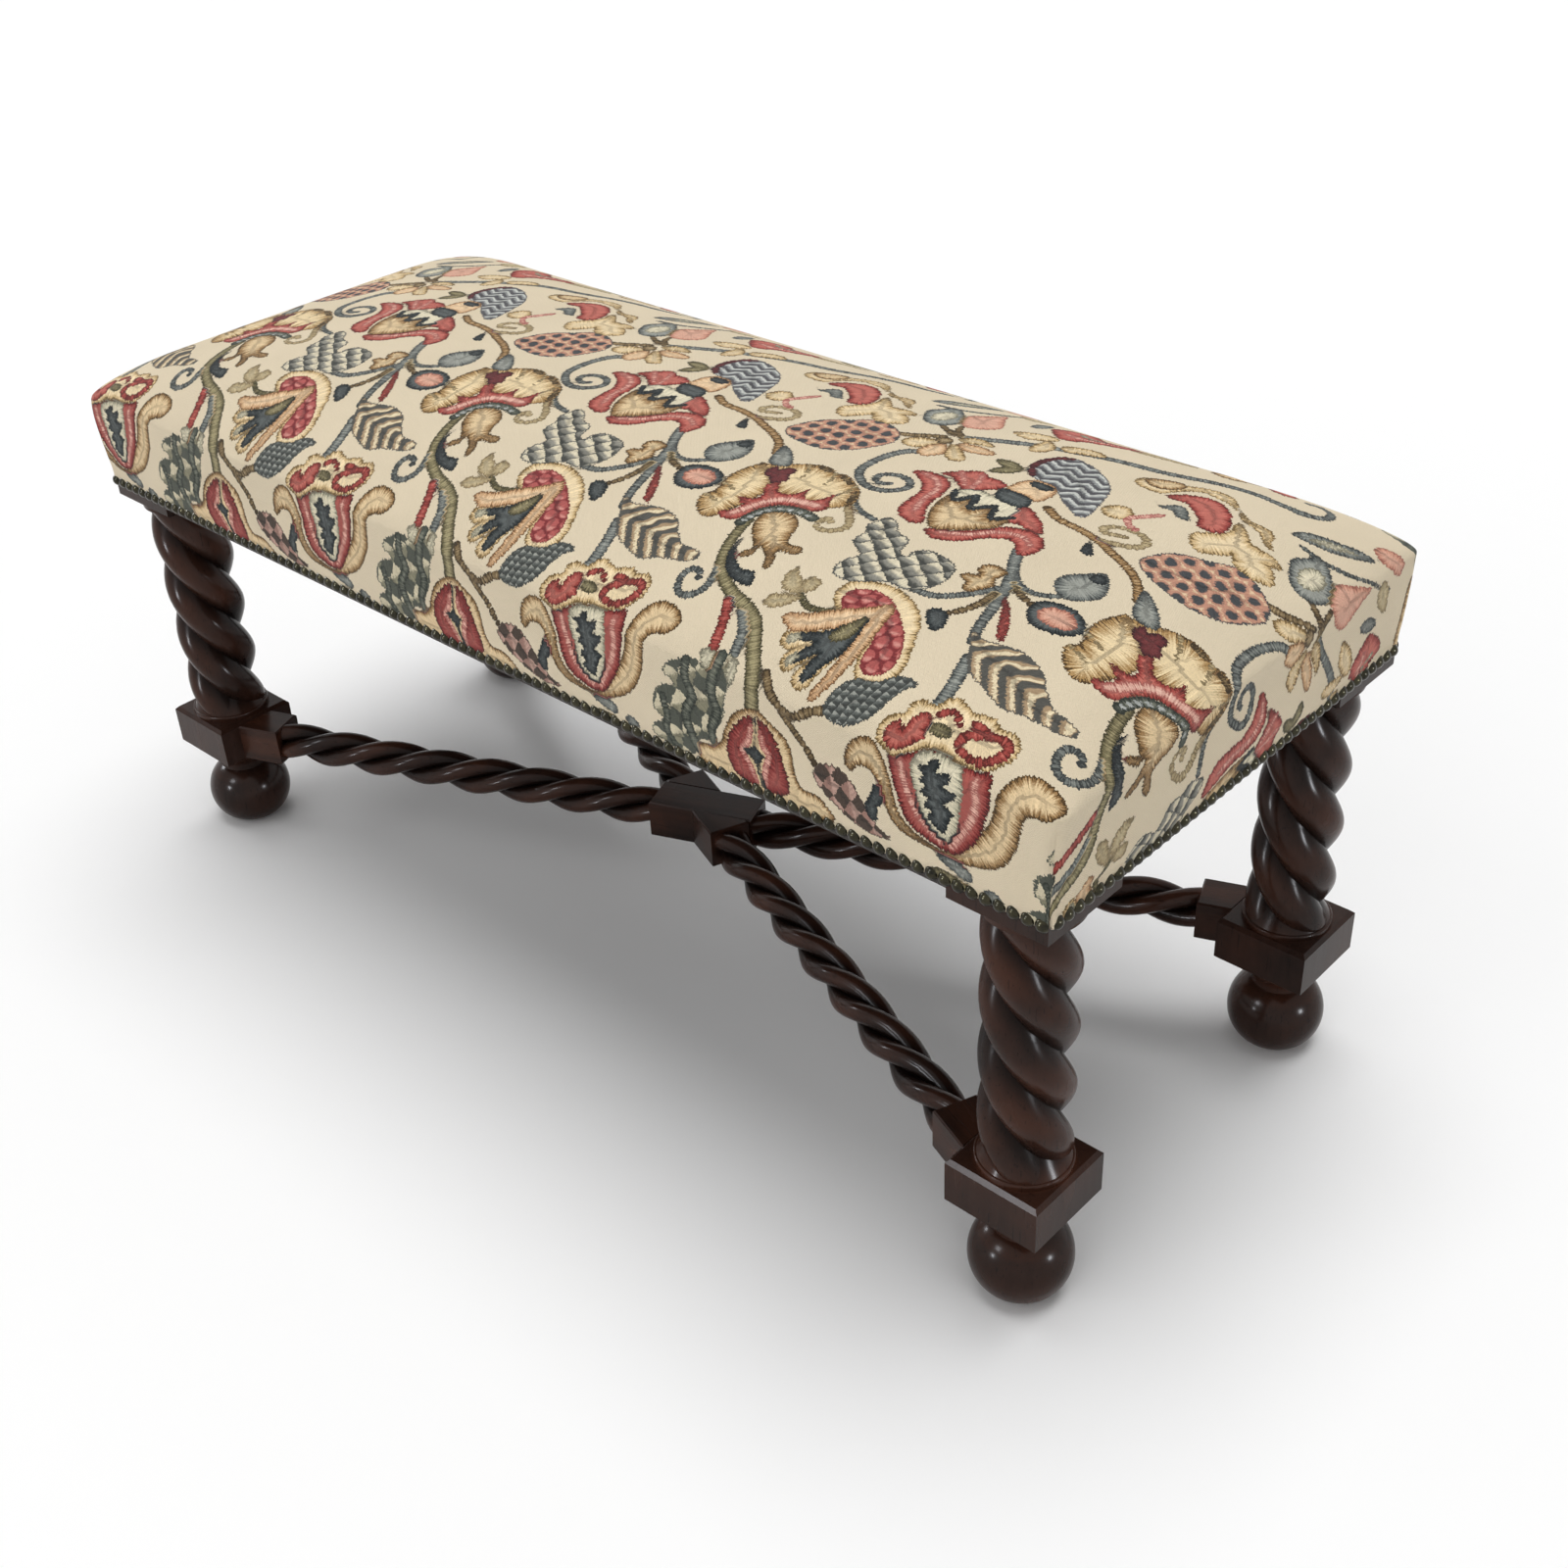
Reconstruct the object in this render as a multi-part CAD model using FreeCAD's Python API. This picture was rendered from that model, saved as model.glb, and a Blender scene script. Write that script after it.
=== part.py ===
import FreeCAD, Part
import math
import os

# Window bench with twist-carved legs, a crossed stretcher and a stuffed-over seat.
# Sizes are in millimetres. X runs along the seat, Y toward the back and Z up.
# The origin lies on the floor under the middle of the seat.

# Legs
leg_span_x = 1000.0
leg_span_y = 365.0
leg_square = 82.0
edge_chamfer = 3.2
foot_height = 87.0
lower_block_height = 43.0
shaft_length = 235.0

# Twist carved on the leg shafts: three round strands, left-handed
strands = 3
leg_strand_radius = 21.4
leg_strand_offset = 13.8
twist_lead = 163.0
front_leg_turn = 74.0
rear_leg_turn = 2.0
twist_step = 15.0
collar_radius = 37.0
collar_height = 5.0
runout_radius = 35.6
runout_tip_radius = 24.0
runout_height = 17.0
turning_overlap = 1.0

# Bun feet
bun_radius = 40.5
bun_centre_height = 31.7
bun_half_height = 35.4
bun_fullness = 0.8
neck_radius = 23.0
foot_ring_radius = 31.0
foot_ring_height = 7.0
spigot_radius = 11.0
spigot_length = 22.0

# Crossed stretcher
bar_width = 38.0
bar_height = 38.0
bar_edge_chamfer = 1.4
crossing_reach = 51.0
end_block_length = 36.0
bar_strand_radius = 8.9
bar_strand_offset = 9.8
bar_turn = 112.0
dowel_radius = 6.0
dowel_in_leg = 22.0
dowel_in_bar = 20.0

# Seat rails and their joints
rail_rise = 11.0
rail_height = 75.0
rail_thickness = 32.0
tenon_thickness = 10.0
tenon_length = 32.0
tenon_shoulder = 10.0
tenon_setback = 14.0
peg_radius = 4.0
peg_length = 40.0
peg_inset = 10.0

# Seat foundation
webbing_width = 50.0
webbing_thickness = 1.0
webbing_end_margin = 6.0
long_webs = 3
long_web_pitch = 78.0
cross_webs = 8
cross_web_pitch = 112.0
canvas_thickness = 1.0
canvas_margin = 3.0

# Stuffing, wadding and cover
cover_thickness = 1.6
cover_hem_height = 2.0
straight_skirt = 16.0
wadding_thickness = 6.0
wadding_clearance = 0.2
wadding_hem_height = 40.0
side_height = 91.0
dome_rise = 60.5
end_swell = 6.0
side_swell = 3.0
end_roundness = 4.3
end_fullness = 1.65
side_roundness = 2.9
side_fullness = 1.32
dome_steps = 9
dome_flat_level = 0.995
lower_corner_radius = 1.5
upper_corner_radius = 12.0
corner_spread = 128.0
corner_spread_power = 0.45
corner_limit = 0.9

# Close nailing along the hem of the cover
nail_pitch = 11.1
nail_head_radius = 5.3
nail_head_height = 3.6
nail_shank_radius = 0.8
nail_shank_length = 8.5
nail_line_height = 8.0
long_side_nail_margin = 5.8
short_side_nail_margin = 9.5

# Bottoming cloth and its tacks
bottoming_thickness = 0.8
bottoming_margin = 10.0
bottoming_notch_gap = 1.0
tack_head_radius = 3.2
tack_head_height = 0.8
tack_shank_radius = 0.8
tack_shank_length = 8.0
bottoming_tack_margin = 18.0
long_side_tacks = 10
short_side_tacks = 3
web_tacks_per_end = 3
web_tack_pitch = 16.0

# Derived positions
half_x = leg_span_x / 2
half_y = leg_span_y / 2
frame_x = half_x + leg_square / 2
frame_y = half_y + leg_square / 2
inner_x = half_x - leg_square / 2
inner_y = half_y - leg_square / 2
block_top = foot_height + lower_block_height
shaft_top = block_top + shaft_length
rail_bottom = shaft_top + rail_rise
rail_top = rail_bottom + rail_height
bar_axis = foot_height + lower_block_height / 2
bar_angle = math.degrees(math.atan2(half_y, inner_x))
bar_face = inner_x / math.cos(math.radians(bar_angle))
nail_z = rail_bottom + nail_line_height
hem_z = rail_bottom + cover_hem_height
web_z = rail_top
canvas_z = rail_top + 2 * webbing_thickness
pad_z = canvas_z + canvas_thickness

V = FreeCAD.Vector
UP = V(0, 0, 1)
OUT = "parts"
os.makedirs("parts", exist_ok=True)


def save(name, shape):
    """Write one named piece."""
    shape.exportStep(os.path.join(OUT, name + ".step"))


def block(x0, x1, y0, y1, z0, z1):
    """Rectangular block between two opposite corners."""
    return Part.makeBox(x1 - x0, y1 - y0, z1 - z0, V(x0, y0, z0))


def chamfered_block(x0, x1, y0, y1, z0, z1, chamfer):
    """Rectangular block with its level edges chamfered."""
    plain = block(x0, x1, y0, y1, z0, z1)
    level = [edge for edge in plain.Edges if edge.BoundBox.ZLength < chamfer]
    return plain.makeChamfer(chamfer, level)


def rod(start, direction, radius, length):
    """Round rod from a start point along a direction."""
    return Part.makeCylinder(radius, length, start, direction)


def strand_ring(strand_radius, strand_offset, height, turn):
    """Closed outline of the strands at one height, turned about Z."""
    half_gap = math.pi / strands
    inward = strand_offset * math.sin(half_gap)
    valley = strand_offset * math.cos(half_gap) + math.sqrt(strand_radius ** 2 - inward ** 2)
    crest = strand_offset + strand_radius
    arcs = []
    for number in range(strands):
        middle = math.radians(turn) + 2 * half_gap * number
        ends = [middle - half_gap, middle, middle + half_gap]
        radii = [valley, crest, valley]
        points = [V(r * math.cos(a), r * math.sin(a), height) for r, a in zip(radii, ends)]
        arcs.append(Part.Arc(points[0], points[1], points[2]).toShape())
    return Part.Wire(arcs)


def twisted_shaft(strand_radius, strand_offset, length, turn):
    """Left-handed twisted shaft standing on Z = 0."""
    sweep = 360.0 * length / twist_lead
    count = int(math.ceil(sweep / twist_step))
    rings = []
    for number in range(count + 1):
        part = number / count
        rings.append(strand_ring(strand_radius, strand_offset, length * part, turn - sweep * part))
    return Part.makeLoft(rings, True, False)


# Corner positions as pairs of signs, named by where the leg stands
corners = {"front_left": (-1, -1), "front_right": (1, -1), "rear_left": (-1, 1), "rear_right": (1, 1)}

# Close nails: position on the cover and the direction the shank points
long_count = int(round(2 * (frame_x + cover_thickness - long_side_nail_margin) / nail_pitch)) + 1
short_count = int(round(2 * (frame_y + cover_thickness - short_side_nail_margin) / nail_pitch)) + 1


def spaced(half_length, count):
    """Evenly spaced positions from one end to the other."""
    return [-half_length + 2 * half_length * n / (count - 1) for n in range(count)]


def nail_seats():
    """Nail positions and inward directions for each side of the seat."""
    seats = {"front": [], "rear": [], "left": [], "right": []}
    face_x = frame_x + cover_thickness
    face_y = frame_y + cover_thickness
    for x in spaced(face_x - long_side_nail_margin, long_count):
        seats["front"].append((V(x, -face_y, nail_z), V(0, 1, 0)))
        seats["rear"].append((V(x, face_y, nail_z), V(0, -1, 0)))
    for y in spaced(face_y - short_side_nail_margin, short_count):
        seats["left"].append((V(-face_x, y, nail_z), V(1, 0, 0)))
        seats["right"].append((V(face_x, y, nail_z), V(-1, 0, 0)))
    return seats


seats = nail_seats()
nail_shanks = []
for side in seats:
    for spot, inward in seats[side]:
        nail_shanks.append(rod(spot, inward, nail_shank_radius, nail_shank_length))


def near(shapes, target):
    """The shapes whose boxes touch the target's box."""
    return [s for s in shapes if s.BoundBox.intersect(target.BoundBox)]


# Rail pegs: two through every tenon, driven from the outer face of the leg
peg_heights = [rail_bottom + tenon_shoulder + peg_inset, rail_top - tenon_shoulder - peg_inset]


def corner_pegs(sx, sy):
    """The four pegs of one corner."""
    pegs = []
    for height in peg_heights:
        along_x = V(sx * (inner_x + tenon_length / 2), sy * frame_y, height)
        along_y = V(sx * frame_x, sy * (inner_y + tenon_length / 2), height)
        pegs.append(rod(along_x, V(0, -sy, 0), peg_radius, peg_length))
        pegs.append(rod(along_y, V(-sx, 0, 0), peg_radius, peg_length))
    return pegs


pegs = {name: corner_pegs(sx, sy) for name, (sx, sy) in corners.items()}
save("rail_pegs", Part.makeCompound([p for name in pegs for p in pegs[name]]))


# Seat rails with a tenon on each end
def long_rail(sy):
    """Front or rear rail lying along X."""
    outer = sy * frame_y
    inner = sy * (frame_y - rail_thickness)
    body = block(-inner_x, inner_x, min(outer, inner), max(outer, inner), rail_bottom, rail_top)
    cheek_a = sy * (frame_y - tenon_setback)
    cheek_b = sy * (frame_y - tenon_setback - tenon_thickness)
    reach = inner_x + tenon_length
    low = rail_bottom + tenon_shoulder
    high = rail_top - tenon_shoulder
    tenon = block(-reach, reach, min(cheek_a, cheek_b), max(cheek_a, cheek_b), low, high)
    return body.fuse(tenon).removeSplitter()


def short_rail(sx):
    """Left or right rail lying along Y."""
    outer = sx * frame_x
    inner = sx * (frame_x - rail_thickness)
    body = block(min(outer, inner), max(outer, inner), -inner_y, inner_y, rail_bottom, rail_top)
    cheek_a = sx * (frame_x - tenon_setback)
    cheek_b = sx * (frame_x - tenon_setback - tenon_thickness)
    reach = inner_y + tenon_length
    low = rail_bottom + tenon_shoulder
    high = rail_top - tenon_shoulder
    tenon = block(min(cheek_a, cheek_b), max(cheek_a, cheek_b), -reach, reach, low, high)
    return body.fuse(tenon).removeSplitter()


rails = {"front": long_rail(-1), "rear": long_rail(1), "left": short_rail(-1), "right": short_rail(1)}


# Tacks for the webbing and the bottoming
def tack(spot, direction):
    """Flat-headed tack whose head rests at a spot and whose shank points along a direction."""
    head = rod(spot - direction * tack_head_height, direction, tack_head_radius, tack_head_height)
    shank = rod(spot, direction, tack_shank_radius, tack_shank_length)
    return head.fuse(shank)


# Webbing: long strips lie on the short rails, cross strips lie over them
web_reach_x = frame_x - webbing_end_margin
web_reach_y = frame_y - webbing_end_margin
long_positions = spaced(long_web_pitch * (long_webs - 1) / 2, long_webs)
cross_positions = spaced(cross_web_pitch * (cross_webs - 1) / 2, cross_webs)
half_web = webbing_width / 2


def cross_web(x):
    """Cross strip: flat on both long rails and raised over the long strips between them."""
    rest = inner_y
    ramp = long_positions[-1] + half_web
    low = web_z
    high = web_z + webbing_thickness
    under = [V(0, -web_reach_y, low), V(0, -rest, low), V(0, -ramp, high)]
    under += [V(0, ramp, high), V(0, rest, low), V(0, web_reach_y, low)]
    over = [p + UP * webbing_thickness for p in reversed(under)]
    outline = Part.makePolygon(under + over + [under[0]])
    strip = Part.Face(outline).extrude(V(webbing_width, 0, 0))
    strip.translate(V(x - half_web, 0, 0))
    return strip


long_strips = []
for y in long_positions:
    strip = block(-web_reach_x, web_reach_x, y - half_web, y + half_web, web_z, web_z + webbing_thickness)
    long_strips.append(strip)
cross_strips = [cross_web(x) for x in cross_positions]

web_tacks = []
web_tack_offsets = spaced(web_tack_pitch * (web_tacks_per_end - 1) / 2, web_tacks_per_end)
for sign in (-1, 1):
    for middle in long_positions:
        for offset in web_tack_offsets:
            x = sign * (frame_x - rail_thickness / 2)
            web_tacks.append(tack(V(x, middle + offset, web_z + webbing_thickness), -UP))
    for middle in cross_positions:
        for offset in web_tack_offsets:
            y = sign * (frame_y - rail_thickness / 2)
            web_tacks.append(tack(V(middle + offset, y, web_z + webbing_thickness), -UP))
save("webbing_tacks", Part.makeCompound(web_tacks))
save("webbing_lengthwise", Part.makeCompound([s.cut(near(web_tacks, s)) for s in long_strips]))
save("webbing_crosswise", Part.makeCompound([s.cut(near(web_tacks, s)) for s in cross_strips]))

# Bottoming cloth, notched round the four leg blocks
cloth_x = frame_x - bottoming_margin
cloth_y = frame_y - bottoming_margin
bottoming = block(-cloth_x, cloth_x, -cloth_y, cloth_y, rail_bottom - bottoming_thickness, rail_bottom)
for sx, sy in corners.values():
    near_x = sx * (inner_x - bottoming_notch_gap)
    near_y = sy * (inner_y - bottoming_notch_gap)
    far_x = sx * frame_x
    far_y = sy * frame_y
    low = rail_bottom - 2 * bottoming_thickness
    notch = block(min(near_x, far_x), max(near_x, far_x), min(near_y, far_y), max(near_y, far_y), low, rail_top)
    bottoming = bottoming.cut(notch)
bottoming_tacks = []
tack_seat = rail_bottom - bottoming_thickness
for sign in (-1, 1):
    for x in spaced(inner_x - bottoming_tack_margin, long_side_tacks):
        spot = V(x, sign * (frame_y - rail_thickness / 2), tack_seat)
        bottoming_tacks.append(tack(spot, UP))
    for y in spaced(inner_y - bottoming_tack_margin, short_side_tacks):
        spot = V(sign * (frame_x - rail_thickness / 2), y, tack_seat)
        bottoming_tacks.append(tack(spot, UP))
save("bottoming_tacks", Part.makeCompound(bottoming_tacks))
save("bottoming_cloth", bottoming.cut(bottoming_tacks))

# Rails bored for pegs, nails and tacks
all_pegs = [p for name in pegs for p in pegs[name]]
rail_fixings = all_pegs + nail_shanks + web_tacks + bottoming_tacks
for side, rail in rails.items():
    save("seat_rail_" + side, rail.cut(near(rail_fixings, rail)))

# Stretcher: two bars of one stock crossing at the middle, halved into each other
bar_angles = {"stretcher_bar_upper": bar_angle, "stretcher_bar_lower": -bar_angle}


def turned(shape, angle):
    """Shape turned about Z and raised to the stretcher's height."""
    moved = shape.copy()
    moved.rotate(V(0, 0, 0), UP, angle)
    moved.translate(UP * bar_axis)
    return moved


def stretcher_bar():
    """One whole bar lying along X with its middle at the origin."""
    half_w = bar_width / 2
    half_h = bar_height / 2
    inner_end = bar_face - end_block_length
    outer_end = bar_face + bar_width
    bar = chamfered_block(-crossing_reach, crossing_reach, -half_w, half_w, -half_h, half_h, bar_edge_chamfer)
    for sign in (-1, 1):
        start = min(sign * inner_end, sign * outer_end)
        end = max(sign * inner_end, sign * outer_end)
        bar = bar.fuse(chamfered_block(start, end, -half_w, half_w, -half_h, half_h, bar_edge_chamfer))
        sunk = bar_edge_chamfer + turning_overlap
        arm = twisted_shaft(bar_strand_radius, bar_strand_offset, inner_end - crossing_reach + 2 * sunk, bar_turn)
        arm.translate(V(0, 0, crossing_reach - sunk))
        arm.rotate(V(0, 0, 0), V(0, 1, 0), 90)
        if sign < 0:
            arm.rotate(V(0, 0, 0), UP, 180)
        bar = bar.fuse(arm)
    return bar


plain_bar = stretcher_bar()
lap_box = block(-bar_face, bar_face, -bar_width / 2, bar_width / 2, -bar_height, 0)
between_legs = block(-inner_x, inner_x, -frame_y, frame_y, 0, rail_bottom)
dowels = {}
for name, (sx, sy) in corners.items():
    direction = V(sx * math.cos(math.radians(bar_angle)), sy * math.sin(math.radians(bar_angle)), 0)
    start = direction * (bar_face - dowel_in_bar) + UP * bar_axis
    dowels[name] = rod(start, direction, dowel_radius, dowel_in_bar + dowel_in_leg)
save("stretcher_dowels", Part.makeCompound(list(dowels.values())))
for name, angle in bar_angles.items():
    bar = turned(plain_bar, angle).common(between_legs)
    notch = turned(lap_box, -angle)
    if name.endswith("lower"):
        notch.translate(UP * bar_height)
    bar = bar.cut([notch] + near(list(dowels.values()), bar))
    save(name, bar)


# Legs: a top block, a twisted shaft between two collars, and a lower block
def leg(name, sx, sy):
    """One leg, bored and morticed for everything that enters it."""
    x0 = sx * half_x - leg_square / 2
    y0 = sy * half_y - leg_square / 2
    x1 = x0 + leg_square
    y1 = y0 + leg_square
    middle = V(sx * half_x, sy * half_y, 0)
    lower = chamfered_block(x0, x1, y0, y1, foot_height, block_top, edge_chamfer)
    upper = chamfered_block(x0, x1, y0, y1, shaft_top, rail_top, edge_chamfer)
    sunk = edge_chamfer + turning_overlap
    collar_low = rod(middle + UP * (block_top - sunk), UP, collar_radius, collar_height + sunk)
    collar_low = collar_low.makeFillet(collar_height / 3, [collar_low.Edges[0]])
    collar_high = rod(middle + UP * (shaft_top - collar_height), UP, collar_radius, collar_height + sunk)
    low_seat = middle + UP * (block_top + collar_height - turning_overlap)
    high_seat = middle + UP * (shaft_top - collar_height + turning_overlap)
    runout_low = Part.makeCone(runout_radius, runout_tip_radius, runout_height, low_seat, UP)
    runout_high = Part.makeCone(runout_radius, runout_tip_radius, runout_height, high_seat, -UP)
    turn = front_leg_turn if sy < 0 else rear_leg_turn
    turn_at_start = turn + 360.0 * sunk / twist_lead
    shaft = twisted_shaft(leg_strand_radius, leg_strand_offset, shaft_length + 2 * sunk, turn_at_start)
    shaft.translate(middle + UP * (block_top - sunk))
    body = lower.fuse([collar_low, runout_low, shaft, runout_high, collar_high, upper])
    hole = rod(middle + UP * foot_height, UP, spigot_radius, spigot_length)
    cutters = [hole, dowels[name]] + near(nail_shanks, upper) + pegs[name]
    cutters += near(list(rails.values()), upper)
    return body.cut(cutters)


def bun_foot(sx, sy):
    """Turned foot with a spigot on top, standing on a small flat."""
    low_angle = math.asin(bun_centre_height / bun_half_height)
    high_angle = math.acos((neck_radius / bun_radius) ** (1 / bun_fullness))
    outline = []
    count = 12
    for number in range(count + 1):
        angle = -low_angle + (low_angle + high_angle) * number / count
        radius = bun_radius * math.cos(angle) ** bun_fullness
        height = bun_centre_height + bun_half_height * math.sin(angle)
        outline.append(V(radius, 0, height))
    bun = Part.BSplineCurve()
    bun.interpolate(outline)
    ring_z = foot_height - foot_ring_height
    neck_top = V(foot_ring_radius, 0, ring_z)
    neck_bottom = outline[-1]
    cove_z = neck_bottom.z * 0.7 + ring_z * 0.3
    cove_mid = V(neck_radius, 0, cove_z)
    neck = Part.Arc(neck_bottom, cove_mid, neck_top).toShape()
    corners_up = [neck_top, V(foot_ring_radius, 0, foot_height), V(spigot_radius, 0, foot_height)]
    corners_up += [V(spigot_radius, 0, foot_height + spigot_length), V(0, 0, foot_height + spigot_length)]
    corners_up += [V(0, 0, 0), outline[0]]
    edges = [bun.toShape(), neck]
    for a, b in zip(corners_up[:-1], corners_up[1:]):
        edges.append(Part.LineSegment(a, b).toShape())
    foot = Part.Face(Part.Wire(edges)).revolve(V(0, 0, 0), UP, 360)
    foot.translate(V(sx * half_x, sy * half_y, 0))
    return foot


for name, (sx, sy) in corners.items():
    save("leg_" + name, leg(name, sx, sy))
    save("foot_" + name, bun_foot(sx, sy))


# Soft seat body: a skirt round the frame, a rounded shoulder and a low crown
def rounded_ring(x, y, radius, z):
    """Closed rectangle with round corners at one height."""
    a = x - radius
    b = y - radius
    edges = []
    for sx, sy, start in ((1, 1, 0), (-1, 1, 90), (-1, -1, 180), (1, -1, 270)):
        centre = V(sx * a, sy * b, z)
        points = []
        for angle in (start, start + 45, start + 90):
            turn = math.radians(angle)
            points.append(centre + V(radius * math.cos(turn), radius * math.sin(turn), 0))
        edges.append((points, Part.Arc(points[0], points[1], points[2]).toShape()))
    path = []
    for number in range(4):
        points, arc = edges[number]
        following = edges[(number + 1) % 4][0]
        path.append(arc)
        path.append(Part.LineSegment(points[2], following[0]).toShape())
    return Part.Wire(path)


def dome_reach(half, roundness, fullness, level):
    """Half width of the dome at a level between 0 at its base and 1 at its crown."""
    return half * (1 - level ** fullness) ** (1 / roundness)


def soft_body(grow, bottom):
    """Domed seat shape grown outward by an even amount, flat at the bottom height."""
    skirt_top = hem_z + straight_skirt
    base_z = rail_bottom + side_height
    swell_x = frame_x + end_swell + grow
    swell_y = frame_y + side_swell + grow
    low_corner = lower_corner_radius + max(grow, 0)
    high_corner = upper_corner_radius + grow
    rings = [rounded_ring(frame_x + grow, frame_y + grow, low_corner, bottom)]
    rings.append(rounded_ring(frame_x + grow, frame_y + grow, low_corner, skirt_top))
    for step in range(dome_steps + 1):
        level = dome_flat_level * math.sin(math.pi / 2 * step / dome_steps)
        half_x = dome_reach(swell_x, end_roundness, end_fullness, level)
        half_y = dome_reach(swell_y, side_roundness, side_fullness, level)
        corner = high_corner + corner_spread * level ** corner_spread_power
        corner = min(corner, corner_limit * half_y)
        rings.append(rounded_ring(half_x, half_y, corner, base_z + (dome_rise + grow) * level))
    return Part.makeLoft(rings, True, True)


above_canvas = block(-2 * frame_x, 2 * frame_x, -2 * frame_y, 2 * frame_y, pad_z, 2 * rail_top)
above_hem = block(-2 * frame_x, 2 * frame_x, -2 * frame_y, 2 * frame_y, rail_bottom + wadding_hem_height, 2 * rail_top)
frame_core = block(-frame_x, frame_x, -frame_y, frame_y, rail_bottom, pad_z)
inside_cover = soft_body(0.0, hem_z - 2 * cover_hem_height)
pad = soft_body(-wadding_thickness, hem_z).common(above_canvas)
padding = soft_body(-wadding_clearance, hem_z - 2 * cover_hem_height)
wadding = padding.common(above_hem).cut([pad, frame_core])
outer_cover = soft_body(cover_thickness, hem_z)
cover = outer_cover.cut(inside_cover).cut(nail_shanks)
canvas_x = frame_x - canvas_margin
canvas_y = frame_y - canvas_margin
canvas = block(-canvas_x, canvas_x, -canvas_y, canvas_y, canvas_z, pad_z)
save("seat_stuffing", pad)
save("seat_wadding", wadding)
save("seat_cover", cover)
save("seat_canvas", canvas)


# Domed nails, one group for each side
def domed_nail():
    """Nail with its head seated on Z = 0 and its shank pointing up."""
    rim = V(nail_head_radius, 0, 0)
    crown = V(0, 0, -nail_head_height)
    bulge = (nail_head_radius ** 2 + nail_head_height ** 2) / (2 * nail_head_height)
    half_angle = math.asin(nail_head_radius / bulge) / 2
    side = V(bulge * math.sin(half_angle), 0, bulge - nail_head_height - bulge * math.cos(half_angle))
    dome = Part.Arc(crown, side, rim).toShape()
    shank_foot = V(nail_shank_radius, 0, 0)
    shank_end = V(nail_shank_radius, 0, nail_shank_length)
    tip = V(0, 0, nail_shank_length)
    edges = [dome]
    for a, b in ((rim, shank_foot), (shank_foot, shank_end), (shank_end, tip), (tip, crown)):
        edges.append(Part.LineSegment(a, b).toShape())
    return Part.Face(Part.Wire(edges)).revolve(V(0, 0, 0), UP, 360)


plain_nail = domed_nail()
for side, spots in seats.items():
    group = []
    for spot, inward in spots:
        nail = plain_nail.copy()
        nail.Placement = FreeCAD.Placement(spot, FreeCAD.Rotation(UP, inward))
        group.append(nail)
    save("nails_" + side, Part.makeCompound(group))
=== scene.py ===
import logging
import math
from dataclasses import dataclass
from enum import Enum, IntEnum
from typing import Any, Sequence

import bpy
import numpy as np
from mathutils import Matrix, Vector


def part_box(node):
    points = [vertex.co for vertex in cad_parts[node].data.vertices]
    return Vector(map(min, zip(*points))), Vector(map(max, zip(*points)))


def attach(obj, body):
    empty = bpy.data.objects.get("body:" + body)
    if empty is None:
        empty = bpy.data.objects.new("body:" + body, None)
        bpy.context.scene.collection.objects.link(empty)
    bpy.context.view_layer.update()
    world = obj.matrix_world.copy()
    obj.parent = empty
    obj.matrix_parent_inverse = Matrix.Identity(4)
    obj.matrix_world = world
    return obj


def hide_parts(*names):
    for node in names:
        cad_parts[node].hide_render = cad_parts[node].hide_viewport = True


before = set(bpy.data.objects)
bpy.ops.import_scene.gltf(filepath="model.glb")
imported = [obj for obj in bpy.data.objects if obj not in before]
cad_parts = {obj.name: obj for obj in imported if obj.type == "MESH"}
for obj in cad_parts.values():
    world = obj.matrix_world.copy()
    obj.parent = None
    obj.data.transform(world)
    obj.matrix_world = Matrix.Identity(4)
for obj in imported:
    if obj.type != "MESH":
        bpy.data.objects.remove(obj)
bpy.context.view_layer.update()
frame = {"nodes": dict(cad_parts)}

log = logging.getLogger("window_bench")

MM = 0.001


# Shader helpers


def shade(red: float, green: float, blue: float) -> tuple[float, float, float, float]:
    """Turns a colour as the eye reads it into linear light.

    Args:
        red, green, blue: the colour's parts, 0 to 255.

    Returns:
        The linear colour with full opacity.
    """
    parts = np.array([red, green, blue]) / 255
    light = np.where(parts <= 0.04045, parts / 12.92, ((parts + 0.055) / 1.055) ** 2.4)
    return (*light.tolist(), 1.0)


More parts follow.
